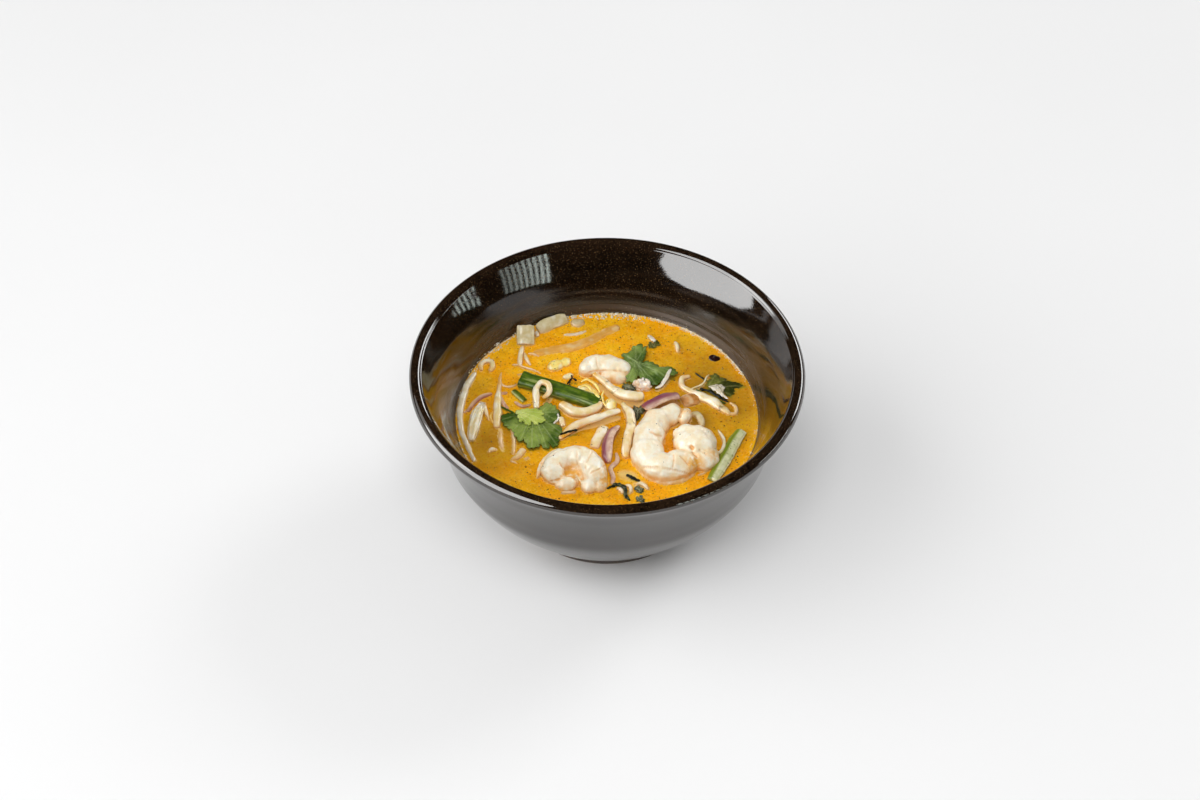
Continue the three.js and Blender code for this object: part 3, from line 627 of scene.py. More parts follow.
# a prawn is a ringed body, eggs fused onto it, creases, and blushes of broth (place, reach, strength)
rightPrawn = {
    "body": {
        "points": [
            (38.5, -27, 2.8), (32.2, -33.2, 2.4), (25.9, -35, 2.2), (20.5, -31.4, 2.4),
            (18.3, -23.6, 2.8), (19.7, -13.6, 3), (22.8, -6.4, 3), (27.3, -2.4, 3), (31.6, -0.4, 2.8),
            (35.4, 0.2, 2.2)],
        "radii": [6.4, 7.3, 7.2, 7.2, 7.4, 7.2, 6.4, 5.6, 4.2], "segments": 6, "flat": 0.92},
    "eggs": [
        ((40.0, -19.8, 3.4), (9.6, 10.2, 6.9), 0), ((37.0, -15.2, 4.4), (5.6, 5.0, 4.8), 10),
        ((43.8, -22.0, 3.6), (5.8, 7.2, 5.0), 0), ((33.0, -14.8, 3.6), (3.0, 4.2, 2.8), 20),
        ((35.8, -1.6, 2.2), (3.0, 4.6, 3.4), -15), ((43.6, -27.4, 2.0), (7.6, 7.0, 4.8), 25)],
    "rods": [
        ([(13.9, -31.3, 0.3), (18.6, -37.7, 0.2), (26.3, -40.6, 0.2), (34, -39.4, 0.3),
            (40, -36.1, 0.2)], [1.2, 2.2, 2.4, 2.2, 0.9], 0.6)],
    "lines": [
        {"points": [(20.0, -17.2, 8), (22.3, -18.8, 8), (25.0, -20.1, 8)], "depth": 0.8, "width": 0.7},
        {"points": [(29.9, -29.5, 6), (30.1, -33.6, 6), (29.8, -37.3, 6)], "depth": 0.7, "colour": 0.5},
        {"points": [(33.1, -30.4, 6), (34.8, -32.9, 6), (36.6, -35.7, 6)], "depth": 0.6},
        {"points": [
             (13.6, -36.4, 3), (19.5, -34.5, 3), (29.4, -36.0, 3), (34.4, -37.6, 3), (38, -39.4, 3)],
         "depth": 0.7, "width": 0.6, "colour": 0.55},
        {"points": [(38.0, -27.6, 9), (38.6, -28.6, 9)], "depth": 1.3, "width": 0.85, "colour": 1.6},
        {"points": [(38.5, -29.8, 8), (40.7, -32.9, 8)], "depth": 0.7, "width": 0.5},
        {"points": [(30.6, -11.3, 6), (30.1, -13.9, 6), (31.0, -17.7, 6)], "depth": 0.5, "colour": 0.3},
        {"points": [(34.2, 3.2, 5), (34.4, 0.2, 5), (33.4, -3.4, 4)], "depth": 1.0, "colour": 0.6,
         "width": 0.6},
        {"points": [(42.0, -27.4, 7), (44.8, -29.2, 6)], "depth": 0.5, "colour": 0.5}],
    "blush": [
        ((51, -15, 5), 7, 1.3), ((39, -34, 4), 9, 1.3), ((47, -28, 3), 7, 1.3), ((36, 0, 4), 6, 1.1),
        ((33, -24, 2), 7, 1.2), ((20, -6, 6), 8, 0.5), ((26, -16, 3), 5, 0.8), ((14, -24, 3), 6, 0.5),
        ((24, -24, 9), 5, 0.35)],
}

leftPrawn = {
    "body": {
        "points": [
            (-22.4, -43.7, 1.2), (-24.8, -36.8, 2.2), (-21.7, -31, 2.8), (-15.3, -29.2, 3.2),
            (-9, -31.5, 3), (-5.8, -37.9, 2.4), (-5.7, -45.3, 1)],
        "radii": [3.2, 4.6, 5.4, 5.9, 6.1, 5.8, 4.2], "segments": 5, "flat": 0.92},
    "eggs": [
        ((-18.3, -43.8, 1.2), (5.2, 3.6, 3.2), 10), ((-22.7, -38.6, 2.2), (4.0, 4.2, 3.3), 0),
        ((-8.3, -44.9, 1.4), (3.9, 4.2, 3.1), 20), ((-15.0, -38.0, -0.8), (8.4, 7.4, 3.5), 0),
        ((-3.9, -41.6, 0.6), (4.2, 6.4, 3.8), 6)],
    "rods": [
        ([(-20.4, -25.2, 5), (-25.8, -27.8, 3.9), (-29.3, -31.6, 2), (-31.7, -40.2, 0.3)],
            [1.2, 1.4, 1.2, 0.6], 0.9),
        ([(-13.1, -24.7, 5.6), (-19.6, -26.8, 5.2), (-25.6, -31.4, 3.6), (-28.6, -37.4, 1.2)],
            [0.9, 1.3, 1.2, 0.6], 0.9),
        ([(-14.8, -40.1, 3.6), (-12.5, -42.6, 3.4), (-10.7, -45.1, 2.4)], [0.5, 0.7, 0.9], 0.9)],
    "lines": [
        {"points": [(-25.1, -44.9, 4), (-21.9, -43.6, 4), (-18.8, -42.3, 4)], "depth": 0.8, "colour": 0.8},
        {"points": [(-21.2, -34.2, 5), (-19.8, -37.3, 5)], "depth": 0.6},
        {"points": [(-14.4, -26.1, 8), (-13.5, -31.1, 8), (-13.5, -36.2, 6)], "depth": 0.5, "colour": 0.4},
        {"points": [(-6.7, -29.8, 8), (-8.5, -34.9, 8), (-9.8, -38.6, 6)], "depth": 0.5, "colour": 0.4},
        {"points": [(-0.8, -36.6, 6), (-4.0, -39.2, 6), (-7.1, -41.1, 6)], "depth": 0.6, "colour": 0.7},
        {"points": [(-29.5, -33.5, 4), (-25.5, -28.8, 4), (-19, -25.6, 5), (-12, -24.4, 5)], "depth": 0.5,
         "colour": 0.6, "width": 0.5}],
    "blush": [
        ((-15.8, -38.2, 2), 7, 1.8), ((-2, -43, 2), 8, 1.3), ((-27, -34, 2), 5, 0.9),
        ((-20, -40.6, 3), 3, 1.2), ((-24.8, -44, 1), 3, 0.5), ((-12.4, -43.4, 1.5), 3, 1.2)],
}

backPrawn = {
    "body": {
        "points": [(-11.3, 31.2, 1.2), (-6, 31.7, 2.2), (0, 31.6, 2.4), (6.1, 30.2, 1.8), (10.8, 27.1, 1)],
        "radii": [3.6, 5, 5.2, 4.8, 3.4], "segments": 3, "flat": 0.95},
    "eggs": [
        ((3.4, 25.2, 0.8), (6.4, 3.4, 3.2), -8), ((-9.2, 30.0, 2.2), (4.2, 4.2, 3.6), 0),
        ((5.6, 31.0, 2.8), (3.8, 3.2, 3.4), 0)],
    "rods": [],
    "lines": [
        {"points": [(-5.2, 33.9, 6), (-4.7, 29.2, 6), (-3.3, 23.8, 5)], "depth": 0.7, "colour": 0.4},
        {"points": [(-8, 26.5, 3), (-2, 27.6, 3), (4, 27.8, 3), (9, 26.6, 3)], "depth": 0.6,
         "colour": 0.6}],
    "blush": [((2, 22.5, 2), 5, 0.8), ((-9, 26, 2), 4, 0.7)],
}


def buildPrawn(shape, name, node):
    body = shape["body"]

    def ringed(u, angle, half):
        # each segment overlaps the next one, like plates
        step = (u * body["segments"]) % 1
        half *= 1 + 0.075 * fade(0, 0.8, step) - 0.045 - 0.04 * fade(0.86, 1.0, step)
        return math.cos(angle) * half, math.sin(angle) * half * body["flat"]

    bm = startPiece()
    addRod(bm, body["points"], body["radii"], 40, 150, ends=(0.09, 0.1), section=ringed)
    for egg in shape["eggs"]:
        addEgg(bm, *egg, detail=36)
    for points, radii, flat in shape["rods"]:
        addRod(bm, points, radii, 20, 60, flat)
    bm = fuse(bm, 0.32, 6)
    roughen(bm, (9, 1.0, 5), (4, 0.45, 3), (1.8, 0.16, 9))
    scoreLines(bm, shape["lines"])
    tint, mark = layersOf(bm, "tint", "mark")
    markHollows(bm, mark, 10, 0.36)
    for vert in bm.verts:
        for (x, y, h), reach, strength in shape["blush"]:
            gap = (vert.co - Vector((x, y, soupLevel + h))).length
            vert[tint] = max(vert[tint], strength * (1 - fade(0, reach, gap)))
        vert[tint] = max(vert[tint], 0.12, 0.7 * fade(6.0, 0.5, vert.co.z - soupLevel))
    finishPiece(bm, name, flesh, node, "pale")


print("prawns")
buildPrawn(rightPrawn, "prawnCurledRight", "prawn_right")
buildPrawn(leftPrawn, "prawnCurledLeft", "prawn_left")
buildPrawn(backPrawn, "prawnBehind", "prawn_back")

# paths are [x, y, height over the broth]; tints say how yellow each end is, marks where a stain sits
sprouts = {
    "sprout_loop": {
        "points": [
            (-32.5, 2.6, 3), (-32.6, 8.2, 4), (-32.7, 13.4, 5.2), (-30.6, 16.3, 6.4), (-27.4, 14.8, 6.5),
            (-26.8, 11.2, 5.6), (-28.4, 8.6, 5), (-30, 7.9, 4.7)],
        "radii": [1.3, 1.4, 1.5, 1.5, 1.5, 1.4, 1.3, 1.1], "tints": [0.1, 0.1, 0.3, 0.7]},
    "sprout_crown": {
        "points": [
            (-6.5, 22.4, 6.4), (-1.4, 18.4, 5.4), (3.2, 13.3, 4.6), (8.3, 10.4, 4.4), (13.9, 9.3, 4.4),
            (17, 9.6, 4.4)],
        "radii": [1.2, 1.6, 2, 2.5, 2.7, 2.1], "tints": [0.8, 0.3, 0.1, 0.3],
        "marks": [(0.3, 0.02), (0.52, 0.04)]},
    "sprout_ridge": {
        "points": [
            (7.2, 7.1, 2), (10.4, -0.3, 3.6), (11.2, -7.5, 3.8), (9.8, -14.5, 3), (8.7, -21.2, 2),
            (8.7, -27, 0.8)],
        "radii": [1.2, 1.9, 2.2, 2.1, 2, 1.6], "flat": 0.8, "tints": [0.2, 0.1, 0.3, 0.5],
        "marks": [(0.47, 0.03)]},
    "sprout_long": {
        "points": [
            (6, 0.3, 4.2), (-0.9, -3, 4.4), (-6.9, -5.2, 3.8), (-12.8, -7.1, 2.8), (-18.3, -11.4, 1.8),
            (-21.9, -15.1, 0.9)],
        "radii": [1.3, 1.8, 2, 1.9, 2, 1.1], "tints": [0.1, 0.1, 0.6, 1.0]},
    "sprout_curved": {
        "points": [(-21.4, 7.2, 1.6), (-16.1, 2.2, 2), (-9.9, 1.2, 2.3), (-4.6, 4.2, 2.5), (-2.7, 7, 2.5)],
        "radii": [2, 2.5, 2.5, 2.3, 1.5], "tints": [0.9, 0.2, 0.1, 0.6]},
    "sprout_short": {
        "points": [(-1.4, -7, 0.7), (-2.7, -10.9, 0.7), (-5, -16.8, 0.6), (-5.9, -20.4, 0.4)],
        "radii": [2.4, 2.6, 2.5, 2], "tints": [0.2, 0.1, 0.2, 0.3], "flat": 0.6, "marks": [(0.1, 0.04)]},
    "sprout_hooked": {
        "points": [
            (38.8, 26.8, 0.8), (35, 24.6, 1), (35.1, 19.9, 1), (38.6, 16.6, 1), (42.2, 14, 1),
            (48, 10.2, 0.9), (53.2, 5.4, 0.8), (57, 1.6, 0.5)],
        "radii": [1, 1.4, 1.3, 1.6, 2.5, 2.6, 2.0, 1], "tints": [0.5, 0.4, 0.1, 0.3], "flat": 0.8,
        "marks": [(0.85, 0.03)],
        "more": ([(55.9, 2.4, 0.4), (59.1, 2.3, 0.5), (59.7, 6, 0.6), (57, 9.6, 0.4)],
            [0.9, 0.9, 0.8, 0.5])},
    "sprout_stub": {
        "points": [(39, 1.8, 0.5), (41.6, 1.4, 0.8), (43.3, -1.8, 0.7), (43.6, -6, 0.1)],
        "radii": [1.2, 1.6, 1.6, 1.3], "tints": [0, 0, 0.1, 0.1], "look": clearFlesh},
    "sprout_upright": {
        "points": [
            (-49.8, 27.2, 0.3), (-50.2, 18.2, 0.6), (-50.5, 8.7, 0.8), (-50.5, -0.3, 0.7),
            (-50.5, -8, 0.4)],
        "radii": [0.7, 1.2, 1.7, 2, 1.5], "tints": [1, 0.5, 0.2, 0.4]},
    "sprout_tail_hook": {
        "points": [(-38.2, -21.6, 0.4), (-39.3, -24.2, 0.4), (-41.2, -26.8, 0.4), (-43.6, -27.8, 0.3)],
        "radii": [1.6, 1.6, 1.3, 0.9], "tints": [0.2, 0.4, 0.5, 0.3]},
    "sprout_edge": {
        "points": [
            (-61.4, 28.4, 0.8), (-65.4, 18.6, 0.9), (-67.3, 8.7, 0.8), (-67.7, -0.8, 0.7),
            (-66.5, -10.5, 0.6), (-63.5, -19.4, 0.5), (-60.1, -29.2, 0.3)],
        "radii": [1.0, 1.6, 1.7, 1.5, 1.2, 1.2, 0.9], "tints": [0, 0, 0.1, 0.2], "look": filmFlesh},
    "sprout_wall": {
        "points": [
            (-58.8, 29.8, 0.4), (-59.2, 33.2, 0.8), (-57, 36, 1), (-54.4, 35.6, 0.9), (-53.7, 32.4, 0.8),
            (-54.8, 29.6, 0.3)],
        "radii": [1, 1.2, 1.2, 1.3, 1.3, 0.9], "tints": [0.5, 0.2, 0.1, 0.3]},
    "sprout_cluster": {
        "points": [(-39.9, 46.6, 0.4), (-40.2, 42.9, 0.9), (-40.8, 38.1, 1), (-41, 32.9, 0.5)],
        "radii": [1, 1.3, 1.3, 0.8], "tints": [0.4, 0.2, 0.5]},
}

# thinner roots, stubs and sunk lengths, and the yellow seed coats and rootlets that lie over the others
looseSprouts = {
    "stemLooseRoots": {
        "look": sproutStem, "slot": "sprout", "under": "pale", "detail": (10, 30), "ends": (0.08, 0.08),
        "rough": [(2, 0.2, 0)],
        "strands": [
            ([(50.9, -9.1, 1.6), (53.6, -15.9, 1.4), (52.6, -21.6, 1.2), (49, -25.8, 1.4),
                (46.4, -28.4, 1.0)], [0.5, 0.8, 0.9, 0.8, 0.5]),
            ([(41, -37, 0.3), (44, -35.7, 0.3), (47.7, -31.9, 0.2)], [0.4, 0.5, 0.4]),
            ([(32.1, 50.1, 0.4), (33.0, 47.2, 0.8), (33.4, 43.1, 0.2)], [0.8, 1.1, 0.7]),
            ([(-39.1, 42.4, 0.3), (-37.9, 37.7, 0.8), (-35.7, 33.7, 0.4)], [0.6, 0.9, 0.6]),
            ([(-37.2, 41.7, 0.4), (-34.9, 41.3, 0.6), (-31.8, 40, 0.2)], [0.4, 0.6, 0.4]),
            ([(-44.6, 34.2, 0.3), (-41.8, 33.8, 0.6), (-38, 31.8, 0.7), (-33.7, 30.2, 0.5),
                (-30.9, 28.1, 0.2)], [0.35, 0.45, 0.5, 0.45, 0.3]),
            ([(-42.1, 27.5, 0.3), (-39.9, 27.8, 0.4), (-37.9, 29.7, 0.3)], [0.3, 0.4, 0.3]),
            ([(-49.4, 29.3, 0.2), (-49.9, 23.9, 0.4), (-48.4, 20.2, 0.4), (-45.6, 19.3, 0.4),
                (-43.3, 20, 0.4), (-41, 22, 0.2)], [0.3, 0.45, 0.5, 0.5, 0.45, 0.3]),
            ([(-62.6, 34.1, 0.3), (-61.7, 37.1, 0.8), (-60.2, 38.6, 0.8), (-58.6, 37.8, 0.3)],
                [0.6, 0.8, 0.8, 0.5]),
            ([(-48.8, -7.8, -0.6), (-48.7, -13.6, -0.3), (-48.1, -18.8, -0.3), (-47.5, -23.2, -0.6)],
                [0.9, 1.2, 1.1, 0.7]),
            ([(-44, -7.5, 0.2), (-42.7, -13.3, 0.3), (-42.4, -19, 0.3), (-42.6, -24.8, 0.1)],
                [0.6, 0.9, 0.9, 0.7]),
            ([(-53.9, -23.2, -0.2), (-52.3, -21.7, 0.3), (-50.1, -21.5, -0.2)], [0.8, 1.3, 0.8]),
            ([(-37.2, -27.5, 0), (-35.6, -26.1, 0)], [0.9, 0.7]),
            ([(-43.8, -28.6, 0.2), (-42.4, -29.2, 0.3), (-40.9, -30.1, 0.1)], [0.5, 0.6, 0.4]),
            ([(-56.6, 8.9, 0.3), (-56, 3.7, 0.8), (-54.3, -2.9, 0.2)], [0.5, 0.9, 0.5]),
            ([(-51.8, 2, 0.2), (-51.5, -1.9, 0.5), (-50.5, -7.4, 0)], [0.6, 0.9, 0.7]),
            ([(-20.6, -48.5, -0.2), (-13.8, -47.8, 0.1)], [1.1, 0.9]),
            ([(-21.4, -1.2, 0.3), (-19.9, -6.8, 0.1)], [1.7, 1.3]),
            ([(38.1, 16.4, 1.9), (40.9, 18.2, 1.7), (43.3, 19.8, 1.3), (45.2, 21.9, 1.5),
                (46.4, 25.1, 1.6), (47.8, 27.8, 0.8)], [0.3, 0.45, 0.5, 0.45, 0.4, 0.3]),
            ([(4.6, -45.3, 0.4), (6.2, -46.5, 0.5), (7.5, -48.7, 0.2)], [0.7, 1.0, 0.7]),
            ([(8.2, -43.3, 0.3), (10.3, -44.5, 0.6), (10.9, -46.9, 0.5), (10, -49.1, 0.2)],
                [0.6, 1.0, 1.0, 0.6]),
            ([(13.2, -43.5, 0.3), (15, -42.8, 0.6), (17.2, -44, 0.5), (18.7, -46.3, 0.2)],
                [0.6, 1.0, 1.0, 0.6])]},
    "headSeedCoats": {
        "look": beanHead, "slot": "seed", "under": "pale", "detail": (12, 40), "flat": 0.7,
        "rough": [(1.5, 0.2, 0)],
        "strands": [
            ([(-12.5, 15.8, 4), (-10, 16.5, 4.4), (-7.7, 14, 4.6), (-6.9, 12.3, 3.8)],
                [0.4, 0.7, 0.7, 0.4]),
            ([(-12.1, 20.5, 2.6), (-9.8, 21.5, 3.4), (-7, 19.3, 4), (-4.6, 15.9, 4.2),
                (-3.2, 12.3, 3.6)], [0.4, 0.7, 0.8, 0.7, 0.4]),
            ([(-6.5, 12.5, 4.4), (-4.8, 10.3, 4.4), (-3, 7.7, 3.6)], [0.4, 0.7, 0.4]),
            ([(-1.4, 13.6, 4.2), (-2.3, 10.3, 4), (-1.8, 7.1, 3.8), (-0.6, 4.2, 3)],
                [0.35, 0.5, 0.5, 0.35]),
            ([(-52.3, 3.2, 0.4), (-53.5, 0.6, 0.6), (-52.9, -3, 0.6), (-51, -5.2, 0.3)],
                [0.3, 0.4, 0.4, 0.3])]},
}

# bean heads: two halves of a seed, each (centre), (half lengths), turn
beanHeads = {
    "bean_open": [((-24.2, 33.3, 0.9), (4.4, 3, 2), 30), ((-19.4, 35.7, 0.8), (2.8, 2.4, 1.7), 60)],
    "bud_pair": [((-10.7, 15.6, 2.2), (3.4, 2, 1.7), -30), ((-5.9, 12.6, 2.4), (3.4, 2, 1.8), -55)],
    "bud_round": [((1.7, 6.6, 1.6), (3.0, 3.5, 2.3), 10)],
    "bud_side": [((-18.2, 26.5, 0.3), (2.6, 1.8, 1.3), 15)],
}


def pieceName(kind, node):
    return kind + node.title().replace("_", "")


def buildSprout(name, shape, seed):
    bm = startPiece()
    rods = [(shape["points"], shape["radii"])] + ([shape["more"]] if "more" in shape else [])
    for points, radii in rods:
        addRod(bm, points, radii, 24, 90, shape.get("flat", 0.85), ends=(0.03, 0.035))
    along, tint, mark = layersOf(bm, "along", "tint", "mark")
    for vert in bm.verts:
        vert[tint] = spread(shape["tints"], vert[along]) * (0.7 + 0.8 * noise.noise(vert.co / 2.5))
        for place, reach in shape.get("marks", []):
            broken = fade(0.0, 0.3, noise.noise(vert.co / 1.1) + 0.1)
            vert[mark] = max(vert[mark], 0.8 * math.exp(-((vert[along] - place) / reach) ** 2) * broken)
    roughen(bm, (5, 0.45, seed), (1.6, 0.1, seed + 4))
    finishPiece(bm, pieceName("stem", name), shape.get("look", sproutStem), name, "pale")


def buildBeanHead(name, halves, number):
    bm = startPiece()
    for half in halves:
        addEgg(bm, *half)
    bm = fuse(bm, 0.3, 2)
    roughen(bm, (2.4, 0.5, number * 5))
    tint, mark = layersOf(bm, "tint", "mark")
    for vert in bm.verts:
        vert[tint] = fade(-0.1, 0.4, noise.noise(vert.co / 3))
        vert[mark] = 0.7 * fade(0.45, 0.6, noise.noise(vert.co / 0.9 + Vector((0, number, 0))))
    finishPiece(bm, pieceName("head", name), beanHead, name, "pale")


print("bean sprouts")
for number, (name, shape) in enumerate(sprouts.items()):
    buildSprout(name, shape, number * 11)
for name, shape in looseSprouts.items():
    buildStrands(name, shape)
for number, (name, halves) in enumerate(beanHeads.items()):
    buildBeanHead(name, halves, number)

# band is width, thickness, bow and tilt; skin is which edge is purple (1 the far left one) and how far it
# reaches
onions = {
    "onion_purple_top": {
        "points": [(16.9, 1.9, 4), (23.1, 6, 4.8), (28.2, 8.9, 4.7), (33.0, 10.6, 3.9)],
        "band": (7.0, 1.3, 1.1, 18), "narrow": 0.1, "look": onionSkin, "skin": (-1, -1.1, 0.1),
        "marks": [(0.98, 0.02)]},
    "onion_front": {
        "points": [(5.2, -7.4, 1.7), (1.7, -12.5, 2), (0.2, -20.3, 1.8), (0.4, -30, 0.9)],
        "band": (5.4, 1.1, 0.9, -20), "look": onionSkin, "skin": (1, -0.35, 0.55)},
    "onion_front_ribbon": {
        "points": [
            (4.2, -23.4, 0.6), (4.7, -28.9, 0.7), (1.8, -33.4, 0.7), (2.8, -38.8, 0.6), (2.4, -43, 0.3)],
        "band": (2.2, 0.8, 0.3, 0), "look": onionSkin, "skin": (1, 0.6, 1.3)},
    "onion_left_arc": {
        "points": [(-64.3, 2.7, 0.3), (-61.9, 7.9, 0.4), (-58.3, 12.4, 0.4), (-53.4, 14.6, 0.3)],
        "band": (2.2, 0.8, 0.2, 0), "look": onionSkin, "skin": (1, -0.4, 1.2)},
    "onion_left_petal": {
        "points": [(-57.6, 8.5, 0.6), (-59.5, 1.5, 0.9), (-61, -6.9, 0.8), (-61.8, -16.2, 0.4)],
        "band": (5.4, 1.0, 0.9, 0), "look": onionFlesh, "folds": (4, 0.55)},
    "onion_orange": {
        "points": [(34.6, 9.4, 0.2), (38.2, 10.8, 0.8), (42.2, 12, 0.2)], "band": (7.6, 1.6, 1.0, 0),
        "narrow": 0.2, "look": brownFlesh},
    "onion_chunk_tall": {
        "points": [(-38.6, 47.4, 0.6), (-38.6, 51.8, 2.9), (-38.8, 56.0, 5.2)],
        "band": (8.4, 1.5, 0.6, 0), "narrow": 0.05, "look": clearFlesh, "folds": (4, 0.25)},
    "onion_chunk_wide": {
        "points": [(-33, 57.2, 0.9), (-26, 61.6, 1.8), (-19.2, 65, 1.3)], "band": (6.6, 1.4, 0.8, -22),
        "narrow": 0.3, "look": clearFlesh, "folds": (2, 0.3)},
    "onion_long": {
        "points": [
            (5.4, 60.6, 0.1), (-1.5, 56, 0.2), (-9.5, 50, 0.3), (-18, 45.7, 0.3), (-26.4, 44, 0.2),
            (-34.6, 41.6, 0)],
        "band": (5.2, 0.9, 0.3, 0), "narrow": 0.35, "look": soakedFlesh, "folds": (3, 0.15)},
}

# the last piece lies wholly sunk between the front prawns, so it only shows through the broth
onionLumps = {
    "petalOnionChunkRound": {
        "look": clearFlesh, "slot": "clear_onion", "node": "onion_chunk_round", "under": "pale",
        "eggs": [((-13.9, 63, 0), (3.2, 3, 1.7))], "rough": [(2.5, 0.6, 0)]},
    "petalCrumb": {
        "look": crumbFlesh, "slot": "clear_onion", "node": "crumb", "under": "pale",
        "eggs": [((16.4, 19.8, 1.6), (4.6, 3.4, 2.6), -15, 40)], "rough": [(2.6, 1.8, 0), (1.1, 0.7, 3)]},
    "petalSunkLumps": {
        "look": crumbFlesh, "slot": "prawn", "node": None, "under": "pale",
        "eggs": [
            ((9.4, -37.2, -2.5), (5.6, 4.0, 2.3), -20, 28), ((14.6, -42.6, -2.3), (3.6, 2.8, 2.0), 25)],
        "rough": [(2.6, 0.5, 0)]},
}

# slivers and scraps of onion: path and width
scrapFinish = {"detail": (20, 44), "band": (0.6, 0.15, 0, 0.0), "rough": [(1.5, 0.25, 0)]}
onionScraps = {
    "petalPinkSlivers": {
        "look": onionSkin, "slot": "purple_onion", "under": "purple", "tint": 0.35,
        "strands": [
            ([(-49, 12.4, 0.5), (-48.1, 8.5, 0.7), (-45.4, 4.6, 0.4)], 1.6),
            ([(-42.8, 9.4, 0.5), (-40.2, 6.8, 0.8), (-37.4, 6.4, 0.8), (-35.1, 7.8, 0.4)], 1.5),
            ([(-49.6, 15, 0.3), (-46.2, 15.3, 0.4)], 1.8),
            ([(-67.0, 2, 0.1), (-64.6, 3.5, 0.3), (-61.5, 8.8, 0.2), (-57.9, 12.9, 0.2),
                (-54.3, 15.3, 0.1)], 1.6)]},
    "petalWhiteScraps": {
        "look": onionFlesh, "slot": "clear_onion", "under": "pale", "tint": 0.8,
        "strands": [
            ([(-63, -3.6, 0.6), (-62.3, 1, 0.9), (-60.3, 4.9, 0.9), (-57.4, 8, 0.5)], 0.9),
            # the next two are ridges along the petal's folds, made whiter as a painted highlight
            ([(-57.8, 5.9, 1.3), (-60, 1.2, 1.7), (-61.6, -3.7, 1.7), (-62.7, -9.1, 1.3)], 0.7),
            ([(-58.3, 0.6, 1.4), (-59.6, -4.6, 1.7), (-60.8, -9.8, 1.3)], 0.8),
            ([(-33.5, 56.4, 0.9), (-33, 53, 0.8)], 1.8),
            ([(-9.9, 57.3, 0.2), (-15, 55.2, 0.3), (-20.4, 54.8, 0.1)], 1.8)]},
    "petalFilmScraps": {
        "look": filmFlesh, "slot": "clear_onion", "under": "pale", "tint": 0.6,
        "strands": [
            # a pale strip beside the right leaf: a painted highlight standing in for a glint on its wet
            # edge
            ([(30.0, 29.4, 2.9), (28.7, 26.4, 3.2), (27.6, 23.1, 3.1), (26, 20.1, 2.6),
                (24.4, 18.1, 2.2), (22.3, 17.5, 1.8)], 1.9),
            ([(22.8, 49.6, 1.0), (20.6, 52.4, 1.2), (19.6, 54.6, 0.6)], 2.0),
            ([(-24.4, -6.4, 2.0), (-22.4, -2.4, 1.6), (-22.8, 1.6, 1.2)], 1.0)]},
}


def buildOnion(name, shape, seed):
    width, thickness, bow, tilt = shape["band"]
    bm = startPiece()
    addRod(bm, shape["points"], [1, 1], 36, 100, ends=(0.03, 0.03),
           section=bandSection(width, thickness, bow, tilt, 7, 0.06, shape.get("narrow", 0.5)))
    along, turn, tint, mark = layersOf(bm, *layerNames)
    folds, foldDepth = shape.get("folds", (0, 0))
    for vert in bm.verts:
        across = squared(math.cos(vert[turn] * 2 * math.pi))
        if "skin" in shape:
            side, low, high = shape["skin"]
            streak = 0.3 * noise.noise(Vector((across * 6, vert.co.x / 9, vert.co.y / 9)))
            vert[tint] = fade(low, high, side * across + streak)
        else:
            vert[tint] = 0.7 * fade(0.0, 0.5, noise.noise(vert.co / 3))
        vert.co.z += foldDepth * math.sin(across * folds * math.pi + 1.4 * noise.noise(vert.co / 6))
        for place, reach in shape.get("marks", []):
            vert[mark] = 0.8 * math.exp(-((vert[along] - place) / reach) ** 2)
    roughen(bm, (4, 0.4, seed))
    slot, under = ("purple_onion", "purple") if shape["look"] == onionSkin else ("clear_onion", "pale")
    finishPiece(bm, pieceName("petal", name), shape["look"], name, under)


print("onion")
for number, (name, shape) in enumerate(onions.items()):
    buildOnion(name, shape, number * 7)
for name, shape in onionLumps.items():
    buildLump(name, shape)
for name, shape in onionScraps.items():
    buildStrands(name, {**scrapFinish, **shape})

scallionTube = {
    "points": [(-39.8, 22.7, 1.9), (-28.8, 18.1, 2.2), (-16.7, 13, 2.2), (-3.6, 7.4, 1.4)],
    "radius": 3.5,
    "wall": 0.7,
    "flat": 0.74,
    "sides": 48,
    "cuts": 80,
    "flare": 0.12,
}
scallionSplit = {"points": [(62, -9.2, 0.9), (58.6, -15.6, 0.9), (54.7, -25.2, 0.9), (47.5, -41, 0.9)],
                 "band": (6.2, 1.2, 0.9, 0, 6, 0.12, 0.2)}
scallionStrip = {"points": [(-43.6, 16.7, 0.5), (-40.8, 13.2, 0.6), (-38, 9.7, 0.6)],
                 "band": (3, 1, 0.4, 0, 0, 0.0, 0.1)}


